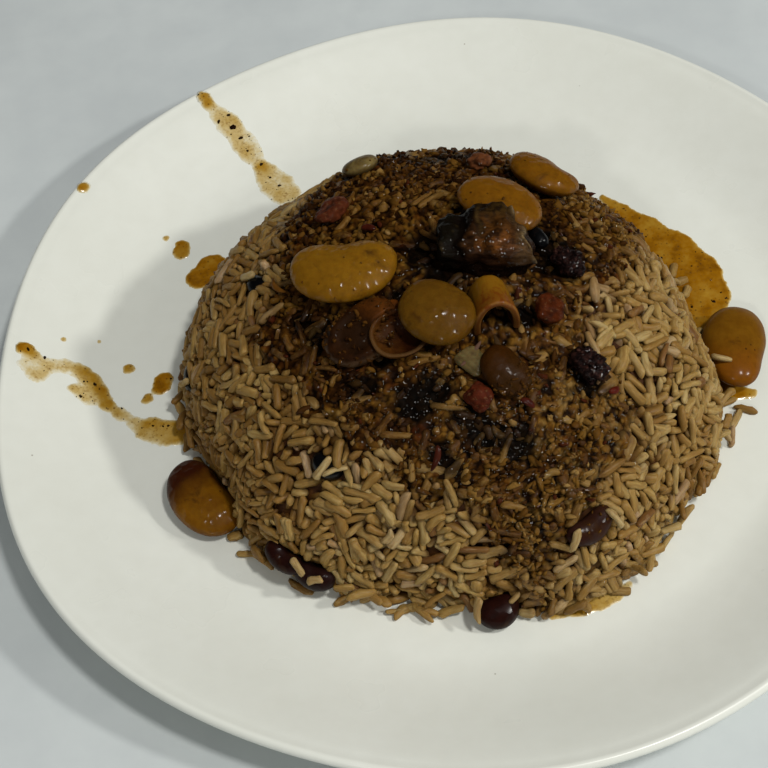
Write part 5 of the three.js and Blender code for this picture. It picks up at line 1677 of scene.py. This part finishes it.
def build_sauce():
    mat = sauce_material()
    rng = np.random.default_rng(SEED + 11)
    speck_at, speck_r = [], []
    step = 0.5
    for name, runs in SAUCE.items():
        pts = np.array([p for run in runs for p in run])
        lo = pts[:, :2].min(0) - pts[:, 2].max() - 3
        hi = pts[:, :2].max(0) + pts[:, 2].max() + 3
        nx, ny = (np.ceil((hi - lo) / step).astype(int) + 1)
        X, Y = np.meshgrid(lo[0] + step * np.arange(nx), lo[1] + step * np.arange(ny))
        X, Y = X.ravel(), Y.ravel()
        f, thick = sauce_field(X, Y, runs)
        P = np.stack([X, Y, 0 * X], 1)
        big = smoothstep(pts[:, 2].max(), 1.0, 3.0)
        wide = 1.8 if "run" in name else 0.3
        f = f + big * (0.9 * fbm(P, 4.2, 3, 14) + 0.3 * noise(P, 1.3, 15))
        if "run" in name:
            thick = thick * np.clip(1 + 1.1 * fbm(P, 6.5, 2, 31), 0.45, 2.0)
        depth = 0.10 + 0.42 * thick
        rise = np.clip(f / 1.1, -1, 1)
        z = plate_top(X, Y) - 0.05 + (depth + 0.05) * np.where(rise > 0, 1 - (1 - rise) ** 2, rise * 0.6)
        z = z + 0.04 * smoothstep(f, 0.2, 1.2) * noise(P, 3.0, 16)
        idx = np.arange(nx * ny).reshape(ny, nx)
        q = np.stack([idx[:-1, :-1], idx[:-1, 1:], idx[1:, 1:], idx[1:, :-1]], -1).reshape(-1, 4)
        q = q[(f[q] > -0.12).any(1)]
        used, inv = np.unique(q, return_inverse=True)
        q = inv.reshape(-1, 4)
        top = np.stack([X, Y, z], 1)[used]
        low = np.stack([X, Y, np.minimum(plate_top(X, Y) - 0.35, z - 0.05)], 1)[used]
        n = len(used)
        # the side between the two faces, along the edges that only one face has
        e = np.concatenate([q[:, [0, 1]], q[:, [1, 2]], q[:, [2, 3]], q[:, [3, 0]]])
        key = np.sort(e, 1)
        _, first, count = np.unique(key[:, 0] * n + key[:, 1], return_index=True, return_counts=True)
        rim = e[first[count == 1]]
        side = np.stack([rim[:, 0], rim[:, 0] + n, rim[:, 1] + n, rim[:, 1]], 1)
        attr = np.ones((2 * n, 4))
        t = (thick * smoothstep(f / (0.9 + wide * big * np.clip(1 - thick, 0, 1)), -0.08, 1.0))[used]
        attr[:n, 0] = attr[n:, 0] = t
        attr[:n, 1] = attr[n:, 1] = np.clip(f[used], 0, 1)
        to_piece(name, np.concatenate([top, low]), [np.concatenate([q, q[:, ::-1] + n, side])], mat, attrs={"sauce": attr})
        pick = rng.choice(n, size=max(3, n // (40 if "run" in name else 200)))
        pick = pick[(f[used][pick] > 0.15) & (np.hypot(top[pick, 0] - HC[0], top[pick, 1] - HC[1]) > 78)]
        speck_at.append(top[pick])
        speck_r.append(np.clip(np.exp(rng.normal(-1.6, 0.45, len(pick))), 0.12, 0.5))
    flecks = np.array([(-65.3, 109.4, 0.8), (-68.8, 107.0, 0.7), (-64.2, 105.2, 0.9), (-62.0, 101.6, 0.6), (-60.2, 97.0, 0.5), (-56.0, 91.8, 0.8),
                       (-53.6, 86.2, 0.6), (-50.6, 82.0, 0.5), (-131.0, 15.8, 0.8), (-112.4, 6.2, 0.6), (-116.2, 1.0, 0.6), (-95.0, -10.4, 0.6)])
    speck_at.append(np.concatenate([flecks[:, :2], plate_top(flecks[:, 0], flecks[:, 1])[:, None] + 0.15], 1))
    speck_r.append(flecks[:, 2])
    at = np.concatenate(speck_at)
    V, faces, m = lumps(at, np.concatenate(speck_r), rng, 6, 4, flat=0.45)
    attr = np.ones((len(V), 4))
    attr[:, 0] = np.repeat(rng.uniform(0.2, 0.6, len(at)), m)
    attr[:, 1] = 0
    to_piece("sauce_specks", V, faces, crumb_material(), attrs={"crumb": attr, "skin": attr * 0 + [0, 0, 1, 1]})


def main():
    V, faces = build_plate()
    to_piece("plate_body", V, faces, glaze_material(), replaces=("plate",))
    build_rice()
    build_core()
    build_gravy()
    build_crumbs()
    build_beans()
    build_sunk_bean()
    build_split_bean()
    build_arch()
    build_meat()
    build_chunks()
    build_bits()
    build_onion()
    build_shreds()
    build_sauce()
    stage()


# ------------------------------------------------------------------ stage, light and camera


def stage():
    me = mesh_of("table", [(-3000, -3000, 0), (3000, -3000, 0), (3000, 3000, 0), (-3000, 3000, 0)],
                 [np.array([[0, 1, 2, 3]])], smooth=False)
    m = Nodes("table_top")
    col = m.ramp(m.noise(90, 5), [(0.3, (192, 198, 198)), (0.7, (207, 213, 212))])
    col = m.mix(m.remap(m.noise(12, 4), 0.4, 0.8, 0.0, 0.3), col, (183, 189, 191))
    me.materials.append(m.finish(col, m.remap(m.noise(30, 3), 0.3, 0.7, 0.4, 0.55), m.bump(m.noise(8, 3), 0.1, 0.2)))
    floor = bpy.data.objects.new("table", me)
    bpy.context.scene.collection.objects.link(floor)

    def lamp(name, direction, distance, size, watts, color=(1, 1, 1)):
        d = Vector(direction).normalized()
        light = bpy.data.lights.new(name, "AREA")
        light.shape = "DISK"
        light.size = size
        light.energy = watts
        light.color = color
        o = bpy.data.objects.new(name, light)
        o.location = Vector((0, 0, 0.03)) + d * distance
        o.rotation_euler = d.to_track_quat("Z", "Y").to_euler()
        bpy.context.scene.collection.objects.link(o)
        return o

    lamp("key", (0.74, -0.27, 0.616), 1.7, 0.13, 11.3, (1.0, 0.985, 0.95))
    lamp("above", (0.328, -0.266, 0.906), 1.7, 0.2, 13.2, (1.0, 0.985, 0.96))
    lamp("front", (-0.25, -0.72, 0.643), 1.7, 0.13, 3.6, (1.0, 0.985, 0.95))
    world = bpy.data.worlds.new("room")
    world.use_nodes = True
    bg = world.node_tree.nodes["Background"]
    bg.inputs[0].default_value = (0.96, 0.99, 1.0, 1)
    bg.inputs[1].default_value = 0.235
    world.cycles_visibility.glossy = False
    bpy.context.scene.world = world

    cam = bpy.data.cameras.new("camera")
    cam.sensor_width = 36.0
    cam.lens = 18.0 / math.tan(14 * DEG)
    o = bpy.data.objects.new("camera", cam)
    right = Vector((0.9916597, -0.10399252, -0.07613536))
    up = Vector((0.12888381, 0.80014073, 0.58580182))
    back = right.cross(up)
    o.matrix_world = Matrix((
        (right.x, up.x, back.x, -0.02424963),
        (right.y, up.y, back.y, -0.28218396),
        (right.z, up.z, back.z, 0.38346687),
        (0, 0, 0, 1),
    ))
    bpy.context.scene.collection.objects.link(o)
    bpy.context.scene.camera = o
    bpy.context.scene.view_settings.view_transform = "Standard"


main()

for name, tris in MADE:
    print("piece", name, tris)
print("all", sum(t for _, t in MADE))
